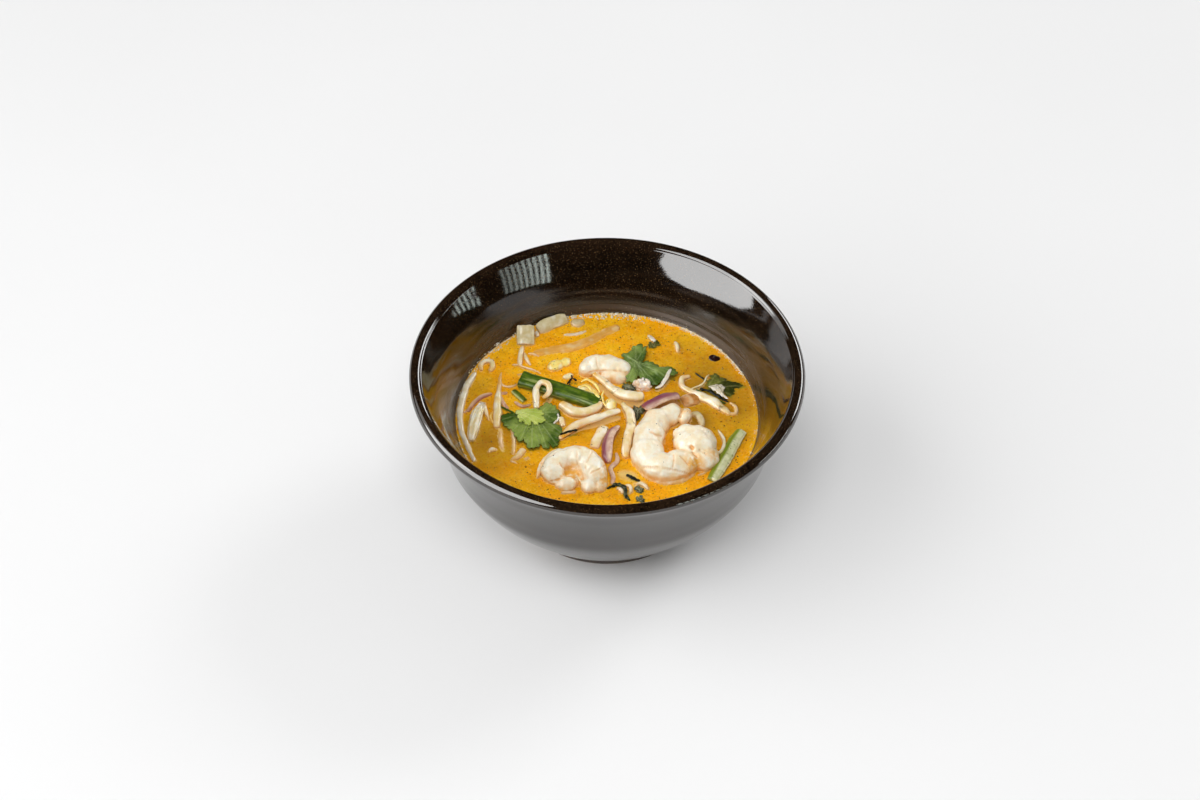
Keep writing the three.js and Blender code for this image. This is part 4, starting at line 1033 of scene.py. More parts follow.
def buildTube(shape):
    bm = startPiece()
    bmesh.ops.create_cone(bm, cap_ends=False, segments=shape["sides"], radius1=1, radius2=1, depth=1)
    lengthwise = [edge for edge in bm.edges if abs(edge.verts[0].co.z - edge.verts[1].co.z) > 0.5]
    bmesh.ops.subdivide_edges(bm, edges=lengthwise, cuts=shape["cuts"], use_grid_fill=True)
    at = pathFrame(shape["points"])
    along, turn, tint = layersOf(bm, "along", "turn", "tint")
    radius = shape["radius"]
    for vert in bm.verts:
        u, angle = vert.co.z + 0.5, math.atan2(vert.co.y, vert.co.x)
        place, side, up = at(u)
        half = radius * (1 + 0.05 * math.sin(3 * angle + 5 * u)) * (1 + shape["flare"] * fade(0.12, 0.0, u))
        # the walls sink in along the top, as a cooked leaf does
        rise = math.sin(angle) * half * shape["flat"] - 0.7 * math.exp(-((angle - 1.3) / 0.5) ** 2)
        vert.co = place + side * math.cos(angle) * half + up * rise
        vert[along], vert[turn] = u, angle / (2 * math.pi)
    bmesh.ops.recalc_face_normals(bm, faces=bm.faces)
    bmesh.ops.solidify(bm, geom=bm.faces[:], thickness=shape["wall"])
    for vert in bm.verts:
        inner = (vert.co - at(vert[along])[0]).length < radius * shape["flat"] - 0.3
        paler = fade(0.5, 0.9, noise.noise(Vector((vert[turn] * 30, vert[along] * 3, 0))) + 0.35)
        vert[tint] = 0.55 if inner else 0.4 * paler
    finishPiece(bm, "leafTube", scallionGreen, "scallion_tube", "green")


def buildSplit(shape):
    bm = startPiece()
    addRod(bm, shape["points"], [1, 1], 40, 110, ends=(0.02, 0.02), section=bandSection(*shape["band"]))
    turn, tint, mark = layersOf(bm, "turn", "tint", "mark")
    for vert in bm.verts:
        across = math.cos(vert[turn] * 2 * math.pi)
        vert[tint] = fade(0.0, 0.12, across + 0.08 * noise.noise(vert.co / 3))
        vert[mark] = 0.6 * fade(0.35, 0.6, noise.noise(vert.co / 0.9)) * (1 - vert[tint])
    roughen(bm, (2.5, 0.25, 0))
    finishPiece(bm, "leafSplit", scallionInside, "scallion_split", "green")


def buildStrip(shape):
    bm = startPiece()
    addRod(bm, shape["points"], [1, 1], 20, 40, ends=(0.03, 0.03), section=bandSection(*shape["band"]))
    turn, tint = layersOf(bm, "turn", "tint")
    for vert in bm.verts:
        vert[tint] = fade(0.16, 0.03, abs(vert[turn] - 0.08)) * 0.9
    finishPiece(bm, "leafStrip", scallionGreen, "scallion_small", "green")


print("spring onion")
buildTube(scallionTube)
buildSplit(scallionSplit)
buildStrip(scallionStrip)

# each leaf has a middle, an outline (its height is rim), veins from a base to tips, and spots of painted
# highlight (a lighter green) and painted shade (a darker green)
leaves = {
    "leafCorianderLeft": {
        "node": "coriander_left", "look": leafDark, "slot": "coriander_dark", "detail": 300,
        "middle": (-33.9, -7.1, 2.4), "rim": 1.5, "wave": 0.7,
        "outline": [
            (-47, 0.6), (-48.3, -0.8), (-48.5, -3.4), (-47.2, -6.6), (-44.9, -9.2), (-43, -11.7),
            (-42, -14.3), (-40.6, -16.2), (-39.6, -17.5), (-38.3, -16.2), (-37.4, -17.8), (-36.6, -20),
            (-35.5, -21.3), (-34.1, -21.8), (-32.5, -21.6), (-30.9, -20.9), (-30.4, -18.7),
            (-29.8, -18.4), (-29.1, -20.3), (-27.9, -21.7), (-26.7, -21.8), (-26.1, -19.9),
            (-26.1, -17.7), (-25.2, -19.3), (-24.1, -20.9), (-22.7, -20.5), (-22, -18.3), (-21.6, -15.4),
            (-21, -13.5), (-20, -12.2), (-20.3, -10.3), (-21.2, -8.7), (-21.5, -6.7), (-23.8, -5.7),
            (-26.4, -5.1), (-23.6, -4.4), (-22, -2.2), (-21.4, 0.4), (-22.2, 3), (-23.5, 5),
            (-25.1, 6.9), (-26.6, 8.2), (-28.4, 7.9), (-30, 6.2), (-31.4, 3.9), (-35.5, 2.6),
            (-41.5, 1.9)],
        "veins": [
            ((-34, 0.5), [(-47.8, -3), (-43.6, -11), (-39.5, -16.5), (-34.3, -21.2), (-27.5, -21),
                (-22.8, -19.6), (-20.8, -12)]),
            ((-30, 0.5), [(-26.8, 7.6), (-22.2, 1.2), (-23, -3.6)])],
        "spots": [
            ((-27.5, 5.5), 4.5, 1.0), ((-42, -9), 7, 0.8), ((-32.5, -16), 6, 0.7),
            ((-45, -2.5), 4, -0.9), ((-23.5, -17), 4, -0.9), ((-23, 0.5), 3, -0.5)]},
    "leafCorianderLeftYoung": {
        "node": "coriander_left_upper", "look": leafLight, "slot": "coriander_light", "detail": 240,
        "teeth": (2.4, 0.7), "middle": (-35.3, -3.1, 3.9), "rim": 3.3, "wave": 0.3,
        "outline": [
            (-42.6, 0.5), (-41, 1.4), (-39.1, 1.8), (-35.5, 2.1), (-32.7, 2.3), (-30.8, 1.6),
            (-29.7, 0.3), (-29, -1.1), (-29.7, -2.3), (-28.7, -3.6), (-28.2, -5.3), (-28.9, -6.8),
            (-30.1, -7.2), (-31.1, -7.1), (-31.9, -8.3), (-33.2, -7.9), (-34.3, -6.3), (-34.7, -6.1),
            (-34.8, -7.6), (-35.7, -8.7), (-37.1, -8.2), (-38, -7), (-38.5, -5.7), (-39, -6.6),
            (-40.1, -6.4), (-40.8, -4.3), (-41.3, -2.1)],
        "veins": [
            ((-42, 0.6), [(-39.8, -6), (-36, -8), (-32, -7.8), (-28.8, -5.6), (-29.4, -1), (-33, 2)])],
        "spots": [((-39, -2), 3, 0.8), ((-33, -5), 3, 0.6)]},
    "leafCorianderRight": {
        "node": "coriander_right", "look": leafTop, "slot": "coriander_dark", "detail": 340,
        "teeth": (2.9, 1.5), "middle": (15.4, 30.5, 3.6), "rim": 2.6, "wave": 0.9,
        "outline": [
            (6.5, 39.5), (9.3, 40.2), (11.2, 41), (11.7, 43.2), (11.9, 44.9), (13.1, 45.8), (15.5, 46.1),
            (16.9, 45.2), (18.2, 44.5), (18.4, 41.9), (18, 39.1), (17, 36.5), (16.9, 34.9), (19.2, 34.1),
            (21, 33.1), (22.9, 32.9), (24.8, 31.9), (26.1, 30.6), (28.5, 30.2), (30.3, 29.6),
            (32.5, 28.5), (32.6, 26.5), (30.7, 24.8), (28.9, 25.1), (27.2, 24.1), (25.6, 21.4),
            (23.9, 18.8), (22.3, 18), (20.9, 19.5), (20, 21.7), (19.4, 22.7), (18.1, 21.3), (16.7, 22.3),
            (15.8, 23.7), (14.4, 24.2), (13, 22.4), (11.6, 20.9), (9.8, 21.3), (8.7, 22.3), (8.8, 23.9),
            (10.2, 25.7), (11.1, 26.8), (10.5, 27.7), (8.8, 28.1), (7.8, 29.3), (7.3, 31), (7.9, 32.8),
            (9, 34), (8.2, 35.7), (7.5, 37.6)],
        "veins": [
            ((13.4, 33), [(7.5, 38.8), (13.4, 45), (17.6, 43.6), (8.2, 30.6), (10, 22.4), (18, 22.2),
                (22.6, 19), (26.6, 25), (31.6, 27.4)])],
        "spots": [
            ((13.5, 42), 4, 0.9), ((24, 29), 4, 0.7), ((11.5, 24), 4, 0.8), ((8.6, 31), 3.4, 0.6),
            ((23.5, 21), 4, -0.9), ((16.4, 37), 3, -0.9), ((15.5, 31.5), 3, -0.6)]},
    "leafCorianderSide": {
        "node": "coriander_side", "look": leafSoaked, "slot": "coriander_dark", "detail": 220,
        "middle": (52.4, 22, 1.1), "rim": 0.1, "wave": 0.35,
        "outline": [
            (45.6, 19.7), (46.6, 23), (47.6, 26), (48.8, 28.2), (51, 29), (52.8, 27.1), (56, 25.1),
            (58.8, 23.8), (61.1, 23.1), (63.6, 21.6), (64.6, 20.4), (62.8, 19.2), (60.3, 19.2),
            (59.5, 16.2), (57.3, 13.4), (55.7, 13.8), (54.8, 17.1), (51.2, 17.4), (47.4, 17.5)],
        "veins": [((46.5, 19.6), [(50.8, 28), (56, 24.6), (63, 20.4), (57.6, 14.6)])],
        "spots": [((50, 24), 3.4, 1.0), ((58, 22), 4, -0.9)]},
    "leafCorianderBack": {
        "node": "coriander_back", "look": leafSoaked, "slot": "coriander_dark", "detail": 90,
        "teeth": (2.0, 0.7), "middle": (21.9, 47.2, 1.2), "rim": 0.8, "wave": 0.3,
        "outline": [
            (19.5, 46.7), (19.6, 49.1), (20.5, 50.2), (21.1, 48.8), (21.5, 47.9), (22.3, 49.8),
            (23.1, 51), (24, 50.5), (24.7, 48.8), (25.4, 47.9), (23.8, 47.4), (22.8, 46.1), (21.4, 45.6),
            (20.2, 45.8)],
        "veins": [((21.9, 46.2), [(20.4, 49.8), (23.2, 50.4), (25, 48)])], "spots": []},
    "herbBehind": {
        "node": "herb_back", "look": herbFlesh, "slot": "herb", "detail": 90, "teeth": (2.0, 0.7),
        "middle": (10.2, 18.6, 1.8), "rim": 1.2, "wave": 0.9,
        "outline": [
            (6.7, 19.1), (7.9, 21.4), (9.3, 21.8), (10.2, 20.2), (11, 21.4), (12.6, 20.5), (13.5, 17.8),
            (13, 16.3), (10.7, 16.5), (8.4, 17.4)],
        "veins": [((10, 18), [(7.4, 20), (11, 21), (13, 17)])], "spots": [((9, 19), 2, 0.8)]},
    "herbMiddle": {
        "node": "herb_mid", "look": herbFlesh, "slot": "herb", "detail": 110, "teeth": (2.0, 0.7),
        "middle": (14.4, 3.2, 1.7), "rim": 1.0, "wave": 1.0,
        "outline": [
            (11.8, 5.6), (13, 6.8), (14.6, 5.8), (15.9, 7), (17.6, 5.4), (17.3, 2.9), (15.7, 1.2),
            (15.2, -1.7), (13.6, -3.6), (12.5, -2.1), (12, 1.6)],
        "veins": [((14.2, 3), [(12.6, 6), (16.6, 5.6), (13.8, -2.6)])], "spots": [((16, 5), 2, 1.0)]},
    "herbFrontClump": {
        "node": "herb_front_clump", "look": herbFlesh, "slot": "herb", "detail": 90, "teeth": (2.0, 0.7),
        "middle": (14.6, -46.4, 1.2), "rim": 0.5, "wave": 0.7,
        "outline": [
            (12.3, -45.6), (13.4, -44.3), (15.2, -44.5), (16.6, -45.8), (16.5, -47.6), (14.8, -48.6),
            (13.2, -47.8)],
        "veins": [((14.4, -46.4), [(12.8, -45.4), (16, -45.6), (15, -48)])],
        "spots": [((15, -46), 1.6, 1.0)]},
    "herbFrontPale": {
        "look": herbFlesh, "slot": "herb", "detail": 80, "middle": (15, -52.2, 0.9), "rim": 0.4,
        "wave": 0.5,
        "outline": [
            (13.1, -53.3), (13.6, -50.8), (15.4, -50), (16.5, -51.6), (16.9, -53.9), (14.9, -54.1)],
        "veins": [((15, -52), [(13.6, -51), (16.4, -52)])], "spots": [((15, -52), 2.4, 0.8)]},
    "petalFilmSide": {
        "look": filmFlesh, "slot": "clear_onion", "detail": 120, "middle": (51.6, 17.0, 1.9), "rim": 1.5,
        "wave": 0.3, "teeth": (2.6, 0.3),
        "outline": [
            (47, 19.3), (48.9, 20), (51.2, 20.7), (53.5, 20.3), (54.9, 18.3), (54, 15.7), (54.6, 13.1),
            (56.3, 10.4), (53.3, 12.7), (50.2, 16)],
        "veins": [((52, 19), [(48, 19), (54, 17), (55, 12)])], "spots": []},
}

rimSteps = 400       # steps round the outline of a leaf


def scallopedRim(leaf):
    # the outline with round lobes and sharp notches between them
    closed = [(x, y, 0) for x, y in leaf["outline"]]
    rim = smoothPath(closed + closed[:1], rimSteps)
    pitch = sum((b - a).length for a, b in zip(rim, rim[1:])) / rimSteps
    toothWidth, toothDepth = leaf.get("teeth", (3.0, 1.1))
    area = sum(a.x * b.y - a.y * b.x for a, b in zip(rim, rim[1:]))
    scalloped = []
    for k in range(rimSteps):
        lobe = abs(math.sin(math.pi * (k * pitch / toothWidth + 0.7 * noise.noise(rim[k] / 4))))
        way = rim[(k + 3) % rimSteps] - rim[k - 3]
        outward = math.copysign(1, area) * Vector((way.y, -way.x, 0)).normalized()
        scalloped.append(rim[k] + outward * toothDepth * (lobe ** 0.7 - 0.7))
    return scalloped + scalloped[:1]


def ribHeight(spot, veins, branchPitch=2.3):
    # how strongly a vein or one of its side branches shows here
    rib = 0.0
    for base, tip in veins:
        way = tip - base
        t = max(0.0, min(1.0, (spot - base).dot(way) / way.length_squared))
        off = (spot - base - way * t).length
        rib = max(rib, math.exp(-(off / 0.24) ** 2) * (1 - 0.6 * t))
        branch = ((t * way.length - 0.9 * off) / branchPitch) % 1
        side = 0.5 * math.exp(-((branch - 0.5) * branchPitch / 0.2) ** 2)
        rib = max(rib, side * fade(3.2, 1.8, off) * (1 - t))
    return rib


def addLeaf(bm, leaf):
    # a sphere pressed flat: its equator follows the outline, its two halves are the blade's faces
    middle = Vector((leaf["middle"][0], leaf["middle"][1], 0))
    rim = scallopedRim(leaf)
    mark, tint = layersOf(bm, "mark", "tint")
    veins = [(Vector((*base, 0)), Vector((*tip, 0))) for base, tips in leaf["veins"] for tip in tips]
    for vert in bmesh.ops.create_uvsphere(bm, u_segments=leaf["detail"], v_segments=44, radius=1)["verts"]:
        polar = math.acos(max(-1.0, min(1.0, vert.co.z))) / math.pi
        share, face = 1 - abs(1 - 2 * polar), 1 if polar < 0.5 else -1
        turn = (math.atan2(vert.co.y, vert.co.x) / (2 * math.pi)) % 1 * rimSteps
        k = int(turn) % rimSteps
        spot = middle.lerp(rim[k].lerp(rim[k + 1], turn - int(turn)), share)
        rib = ribHeight(spot, veins)
        height = leaf["middle"][2] + (leaf["rim"] - leaf["middle"][2]) * share * share
        height += leaf["wave"] * (1.3 * noise.noise(spot / 4.5) + 0.35 * share ** 3 * math.sin(k * 0.17))
        height += leaf["wave"] * 0.9 * (0.3 - abs(noise.noise(spot / 2.6 + Vector((0, 7, 0)))))
        height += 0.2 * noise.noise(spot / 1.4) - 0.3 * rib
        skin = face * 0.17 * math.sqrt(max(1 - share ** 4, 0))
        vert.co = spot + Vector((0, 0, soupLevel + height + skin))
        vert[mark] = rib
        shade = 0.35 + 0.5 * noise.noise(spot / 3.5 + Vector((9, 0, 0)))
        # spots of painted highlight lighten the green, spots of painted shade darken it
        for (x, y), reach, amount in leaf["spots"]:
            shade += amount * math.exp(-((spot - Vector((x, y, 0))).length / reach) ** 2)
        vert[tint] = max(0.0, min(1.0, shade))
    bmesh.ops.recalc_face_normals(bm, faces=bm.faces)


frontCurl = {
    "points": [
        (0.3, -45.9, 0.3), (1.9, -44.6, 0.6), (4.2, -43.4, 0.7), (6.4, -43.9, 0.7), (8, -45.2, 0.7),
        (8.5, -47.4, 0.7), (8.3, -49.8, 0.6), (9.5, -52.1, 0.5), (10.7, -53, 0.2)],
    "band": (1.7, 0.6, 0.3, 0, 3, 0.15)}
corianderStems = {
    "look": leafDark, "slot": "coriander_dark", "under": "green", "detail": (10, 30), "rough": [],
    "strands": [
        ([(-49.8, 6.6, 0.6), (-46.5, 3.6, 1.4), (-43, 0.5, 2.2)], [0.35, 0.4, 0.5]),
        ([(3.8, 37.2, 1.2), (8, 34.8, 2.4), (13, 32.6, 3)], [0.35, 0.45, 0.5]),
        ([(41.5, 17.8, 0.8), (47, 12.9, 1.2), (55, 8.8, 0.6)], [0.4, 0.5, 0.4])]}
looseHerbs = {
    "look": herbFlesh, "slot": "herb", "under": "green", "detail": (14, 40), "band": (0.5, 0.1, 3, 0.12),
    "rough": [(1.4, 0.5, 0)],
    "strands": [
        ([(9, -37, 0.4), (11.2, -38.6, 0.7), (13.2, -40.1, 0.7), (15, -40.9, 0.4)], 1.6),
        ([(-16.6, 25.5, 1.8), (-16.3, 22.6, 3), (-17.5, 20.9, 3), (-18.8, 18.8, 2)], 0.7),
        ([(-16.3, 22.6, 3), (-14.2, 21.8, 2.4)], 0.7),
        ([(-17.2, 20.7, 3), (-17.6, 17.7, 2.9), (-16.1, 14.7, 2.2)], 0.6),
        ([(-20.7, 18.9, 1.6), (-19.5, 17.2, 1.8)], 0.7),
        ([(-21.6, -13.8, 2.2), (-17.4, -12.2, 3.0), (-13.4, -11.4, 3.2)], 1.1),
        ([(43, 18.6, 0.5), (47.4, 16.7, 1.0), (51.5, 13.4, 0.9), (56.1, 10.2, 0.3)], 1.5),
        ([(41.2, 29.4, 0.0), (44.8, 25.6, 0.1), (47.2, 23.0, 0.2)], 1.0)]}
chilliFlake = {
    "look": chilliSkin, "slot": "chilli", "node": "chilli_flake", "under": None,
    "eggs": [((50.5, 39.4, 0.1), (2.7, 2, 0.8), -10)], "rough": [(1.5, 0.5, 0)]}


def buildFrontCurl(shape):
    bm = startPiece()
    addRod(bm, shape["points"], [1, 1], 20, 90, section=bandSection(*shape["band"]))
    roughen(bm, (1.3, 0.7, 0))
    tint = layersOf(bm, "tint")[0]
    for vert in bm.verts:
        vert[tint] = fade(-0.1, 0.35, noise.noise(vert.co / 1.2))
    finishPiece(bm, "herbFrontCurl", herbFlesh, "herb_front_curl", "green")


print("coriander and herbs")
for name, leaf in leaves.items():
    bm = startPiece()
    addLeaf(bm, leaf)
    finishPiece(bm, name, leaf["look"], leaf.get("node"), "green")
buildStrands("stemsCoriander", corianderStems)
buildFrontCurl(frontCurl)
buildStrands("herbLooseShreds", looseHerbs)
buildLump("flakeChilli", chilliFlake)

brothShape = {
    "sides": 330,
    "rings": 116,
    "wallGap": 0.12,         # overlap with the bowl's wall, so that no gap shows
    "depthShown": 3.2,       # how deep something may lie and still tint the surface
    "depthFade": 1.2,
    "climb": 0.75,           # how far the broth climbs the wall and what floats in it
    "climbReach": 1.1,
    "garnishClimb": 0.4,
    "garnishReach": 0.8,
    # painted shade, browner by the walls and garnish: where, how far it reaches and how strong
    "paintedShade": [
        ((-62, -20), 26, 0.55), ((62, 8), 22, 0.6), ((45, 34), 20, 0.45), ((-52, -14), 14, 0.3),
        ((-66, 20), 14, 0.45), ((0, -8), 22, 0.25), ((42, -4), 8, 0.75), ((-17, -6), 10, 0.3),
        ((0, -62), 16, 0.15), ((30, 13), 9, 0.35), ((45, 20), 9, 0.4)],
}
down = Vector((0, 0, -1))


def nearGarnish(spot, trees, searchReach=3.0, farAway=9.0):
    # the nearest surface to a spot on the broth, and how deep the highest one under it lies
    nearest, depth = farAway, farAway
    for tree in trees:
        distance = tree.find_nearest(spot, searchReach)[3]
        if distance is not None:
            nearest = min(nearest, distance)
        hit = tree.ray_cast(spot - down * 6, down, 12)[0]
        if hit is not None:
            depth = min(depth, max(soupLevel - hit.z, 0.0))
    return nearest, depth


def buildBroth(shape):
    level = innerRadius(soupLevel)
    edge = level + shape["wallGap"]
    below = [(r + 0.05, z) for r, z in insideLine[::10] if 12 < z < soupLevel - 1]
    rim = [(innerRadius(soupLevel + shape["climb"]) + shape["wallGap"], soupLevel + shape["climb"])]
    top = [(edge * (1 - k / shape["rings"]), soupLevel) for k in range(shape["rings"] + 1)]
    bm = startPiece()
    spinProfile(bm, [(0, 11.2)] + below[::-1] + rim + top, shape["sides"])
    layers = {key: bm.verts.layers.float.new("under" + key.title()) for key in sunk}
    tint = layersOf(bm, "tint")[0]
    for vert in bm.verts:
        if vert.co.z < soupLevel - 0.01:
            continue
        spot = Vector((vert.co.x, vert.co.y, soupLevel))
        gaps = []
        for key, trees in sunk.items():
            nearest, depth = nearGarnish(spot, trees)
            gaps.append(nearest)
            shows = depth < shape["depthShown"]
            vert[layers[key]] = math.exp(-(depth / shape["depthFade"]) ** 2) if shows else 0.0
        wall = max(level - math.hypot(vert.co.x, vert.co.y), 0)
        climb = shape["climb"] * math.exp(-wall / shape["climbReach"])
        climb += shape["garnishClimb"] * math.exp(-min(gaps) / shape["garnishReach"])
        if vert.co.z < soupLevel + 0.3:
            vert.co.z = soupLevel + climb + 0.08 * noise.noise(spot / 7)
        # painted shade from the browner stretches, with a little random tone
        vert[tint] = sum(strength * math.exp(-((vert.co.x - x) ** 2 + (vert.co.y - y) ** 2) / reach ** 2)
                         for (x, y), reach, strength in shape["paintedShade"]) + 0.12 * noise.noise(spot / 9)
    finishPiece(bm, "brothBody", broth, "broth")


print("broth")
buildBroth(brothShape)

# bubbles: where they gather along the edge (degrees from +X), how far in from the wall, how many
bubbleRuns = [
    {"from": 74, "to": 110, "inward": 3.0, "count": 380, "size": (0.2, 0.7), "climb": 0.3},
    {"from": 112, "to": 158, "inward": 1.4, "count": 420, "size": (0.12, 0.5), "climb": 1.6},
    # a dense run of tiny pale bubbles on the right-back edge: a painted highlight along the meniscus
    {"from": 22, "to": 74, "inward": 0.8, "count": 900, "size": (0.16, 0.34), "climb": 0.5},
    {"from": -44, "to": 24, "inward": 0.9, "count": 420, "size": (0.12, 0.28), "climb": 0.6},
    {"from": 158, "to": 228, "inward": 1.0, "count": 240, "size": (0.12, 0.35), "climb": 0.8},
    {"from": 228, "to": 318, "inward": 0.8, "count": 160, "size": (0.12, 0.3), "climb": 0.3},
]
# lines of the finest foam where the broth meets the wall; the first is a painted highlight on the meniscus
foamAndGlintLines = {
    "height": 0.62, "inward": 0.35, "widths": 90, "steps": 300,
    "runs": [{"from": 23, "to": 72, "half": (0.12, 0.5)}, {"from": 120, "to": 148, "half": (0.05, 0.4)},
             {"from": 176, "to": 222, "half": (0.05, 0.25)}]}
specks = [
    {"name": "specksPepper", "look": chilliSkin, "slot": "chilli", "count": 900, "size": (0.1, 0.3)},
    {"name": "specksHerb", "look": herbFlesh, "slot": "herb", "count": 260, "size": (0.12, 0.38)},
]


def bubbleSpots(run):
    spots = []
    for _ in range(run["count"]):
        angle = math.radians(chance.uniform(run["from"], run["to"]))
        clump = fade(-0.25, 0.2, noise.noise(Vector((math.degrees(angle) / 2.2, 0, 0))))
        if chance.random() > 0.25 + clump:
            continue
        size = run["size"][0] + (run["size"][1] - run["size"][0]) * chance.random() ** 2
        inward = (run["inward"] * chance.random() ** 2 + 0.3) if chance.random() < 0.6 else 0.1
        height = 0.6 * math.exp(-inward / 1.1)
        if inward == 0.1:
            height += run["climb"] * chance.random() ** 1.5     # on the wall itself
        radius = innerRadius(soupLevel + height) - inward - 0.4 * size
        rise = soupLevel + height + 0.1 * size
        place = Vector((radius * math.cos(angle), radius * math.sin(angle), rise))
        matrix = Matrix.LocRotScale(place, None, Vector((size, size, size * 0.8)))
        spots.append((matrix, 2 if size > 0.3 else 1))
    return spots


def buildFoam(runs, lines):
    bm = scatter([spot for run in runs for spot in bubbleSpots(run)])
    radius = innerRadius(soupLevel + 0.7) - lines["inward"]
    for line in lines["runs"]:
        turns = [math.radians(line["from"] + (line["to"] - line["from"]) * k / 24) for k in range(25)]
        path = [(radius * math.cos(t), radius * math.sin(t), lines["height"]) for t in turns]
        halves = [chance.uniform(*line["half"]) for _ in range(lines["widths"])]
        addRod(bm, path, halves, 10, lines["steps"], ends=(0.01, 0.01))
    finishPiece(bm, "foamBubbles", foamFilm())


def buildSpecks(kind, trees, spreadRadius=67.5, above=16):
    spots = []
    for _ in range(kind["count"]):
        angle, radius = chance.uniform(0, 2 * math.pi), spreadRadius * math.sqrt(chance.random())
        size = kind["size"][0] + (kind["size"][1] - kind["size"][0]) * chance.random() ** 2.5
        place = Vector((radius * math.cos(angle), radius * math.sin(angle), soupLevel + 0.1))
        hits = [tree.ray_cast(place - down * above, down, above)[0] for tree in trees]
        top = max((hit.z for hit in hits if hit), default=0)
        if top > place.z:
            if chance.random() > 0.12:      # few stay on the garnish
                continue
            place.z = top + 0.02
        spots.append((Matrix.LocRotScale(place, Euler((0, 0, chance.uniform(0, 3.1))),
                                         Vector((size * chance.uniform(1, 1.8), size, size * 0.5))), 1))
    finishPiece(scatter(spots), kind["name"], kind["look"])


print("foam and specks")
buildFoam(bubbleRuns, foamAndGlintLines)
garnishTrees = [tree for trees in sunk.values() for tree in trees]
for kind in specks:
    buildSpecks(kind, garnishTrees)

floorHalf = 6        # metres
# direction is (azimuth from the camera's side towards +X, elevation) in degrees, distances in metres;
# "seen" says whether a lamp lights matt surfaces or shows in shiny ones
lamps = [
    {"name": "octaBox", "shape": "ELLIPSE", "direction": (-73, 42), "distance": 2.25, "size": 3.6,
     "sizeY": 2.6, "watts": 42, "seen": "matt", "facing": (-73, 0)},
    {"name": "octaBoxFace", "shape": "ELLIPSE", "direction": (-70, 40), "distance": 2.05, "size": 2.85,
     "sizeY": 2.5, "watts": 92, "seen": "shiny", "facing": (-70, 0)},
    {"name": "octaBoxEdge", "shape": "ELLIPSE", "direction": (-105, 37), "distance": 2.1, "size": 1.5,
     "sizeY": 2.0, "watts": 9, "seen": "shiny", "facing": (-105, 0)},
    {"name": "rightFill", "shape": "SQUARE", "direction": (128, 32), "distance": 2.6, "size": 0.9,
     "watts": 16, "seen": "matt"},
    {"name": "rightStrip", "shape": "RECTANGLE", "direction": (138, 23), "distance": 2.2, "size": 1.6,
     "sizeY": 0.55, "watts": 18, "seen": "shiny"},
    {"name": "window", "shape": "RECTANGLE", "direction": (94, 12), "distance": 2.2, "size": 0.9,
     "sizeY": 0.17, "watts": 2.6, "seen": "shiny"},
    {"name": "frontFill", "shape": "SQUARE", "direction": (-4, 61), "distance": 2.2, "size": 1.0,
     "watts": 17.5, "seen": "matt"},
]
# windows with blinds: narrow bright strips, weaker towards the last
blinds = [
    {"first": 36, "last": 63, "count": 9, "elevation": 13, "height": 0.55, "width": 0.05,
     "watts": (0.5, 0.16)},
    {"first": 82, "last": 106, "count": 8, "elevation": 6, "height": 0.2, "width": 0.05,
     "watts": (0.12, 0.12)},
]
lampAim = Vector((0, 0, 60 * mm))      # lamps stand round this point
windowTint = (0.9, 1, 0.92)
blindDistance = 2.2


def addFloor():
    bm = bmesh.new()
    bmesh.ops.create_grid(bm, x_segments=1, y_segments=1, size=floorHalf)
    mesh = bpy.data.meshes.new("floorSweep")
    bm.to_mesh(mesh)
    bm.free()
    mesh.materials.append(paintedFloor())
    floor = bpy.data.objects.new("floorSweep", mesh)
    bpy.context.scene.collection.objects.link(floor)


def aimFrom(turn, rise):
    turn, rise = math.radians(turn), math.radians(rise)
    return Vector((math.sin(turn) * math.cos(rise), -math.cos(turn) * math.cos(rise), math.sin(rise)))


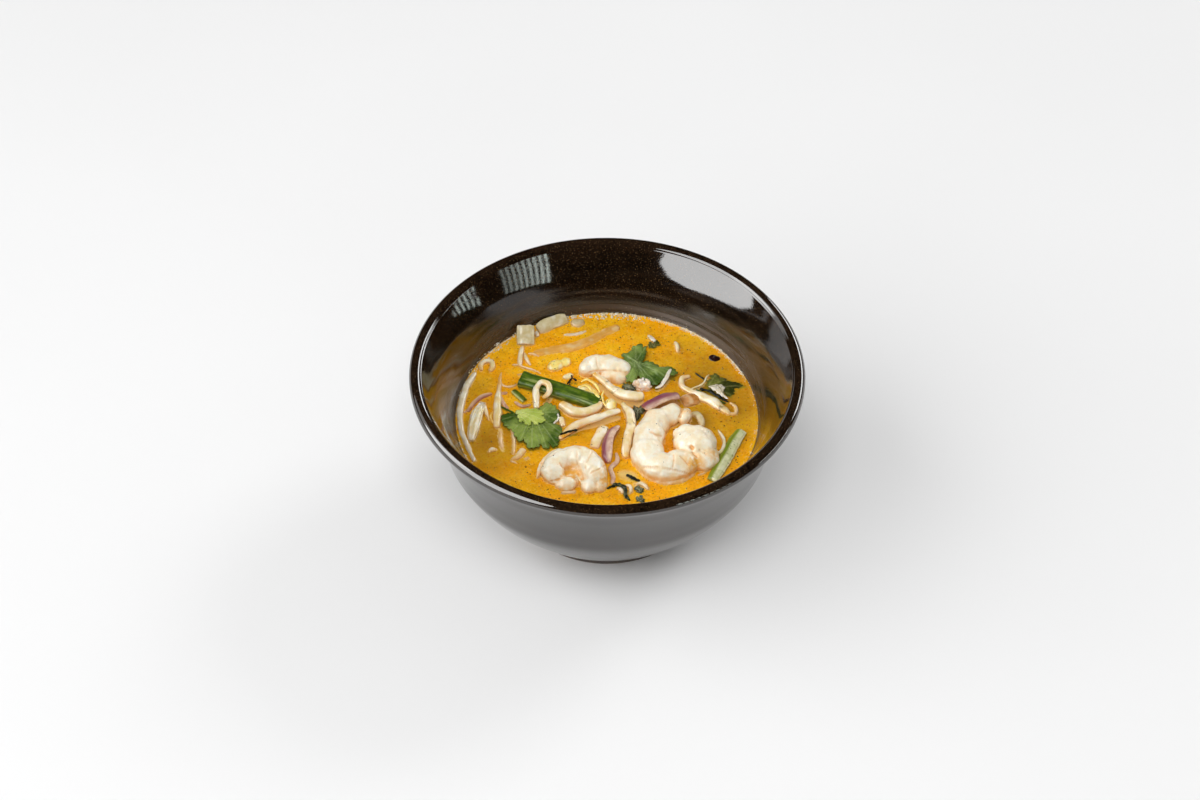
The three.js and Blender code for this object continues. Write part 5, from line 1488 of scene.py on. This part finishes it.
def addLamp(name, shape, direction, distance, size, watts, seen, sizeY=None, facing=None, tint=(1, 1, 1)):
    light = bpy.data.lights.new(name, "AREA")
    light.shape, light.size, light.energy, light.color = shape, size, watts, tint
    if sizeY:
        light.size_y = sizeY
    lamp = bpy.data.objects.new(name, light)
    lamp.location = aimFrom(*direction) * distance + lampAim
    lamp.rotation_mode = "QUATERNION"
    lamp.rotation_quaternion = aimFrom(*(facing or direction)).to_track_quat("Z", "Y")
    lamp.visible_diffuse, lamp.visible_glossy = seen == "matt", seen == "shiny"
    bpy.context.scene.collection.objects.link(lamp)


print("floor, lights and camera")
addFloor()
for lamp in lamps:
    addLamp(**lamp)
for number, row in enumerate(blinds):
    for k in range(row["count"]):
        share = k / (row["count"] - 1)
        azimuth = row["first"] + (row["last"] - row["first"]) * share
        watts = row["watts"][0] + (row["watts"][1] - row["watts"][0]) * share
        addLamp(f"blind{number}{k}", "RECTANGLE", (azimuth, row["elevation"]), blindDistance,
                row["width"], watts, "shiny", row["height"], tint=windowTint)

world = bpy.data.worlds.new("dimRoom")
world.use_nodes = True
background = world.node_tree.nodes["Background"]
background.inputs["Color"].default_value = (1, 1, 1, 1)
background.inputs["Strength"].default_value = 0.36
world.cycles_visibility.glossy = False     # a dark room to anything shiny
bpy.context.scene.world = world
bpy.context.scene.view_settings.view_transform = "Standard"

view = {"place": (-3.23, -976.64, 1032.69), "lens": 90, "sensor": 36, "roll": 0.28}
camera = bpy.data.objects.new("camera", bpy.data.cameras.new("camera"))
camera.data.lens, camera.data.sensor_width = view["lens"], view["sensor"]
camera.data.sensor_fit = "HORIZONTAL"
camera.data.clip_start, camera.data.clip_end = 0.05, 20
camera.rotation_mode = "QUATERNION"
camera.location = Vector(view["place"]) * mm
camera.rotation_quaternion = (lookDown.to_track_quat("-Z", "Y").to_matrix()
                              @ Matrix.Rotation(math.radians(view["roll"]), 3, "Z")).to_quaternion()
bpy.context.scene.collection.objects.link(camera)
bpy.context.scene.camera = camera

print("finished")
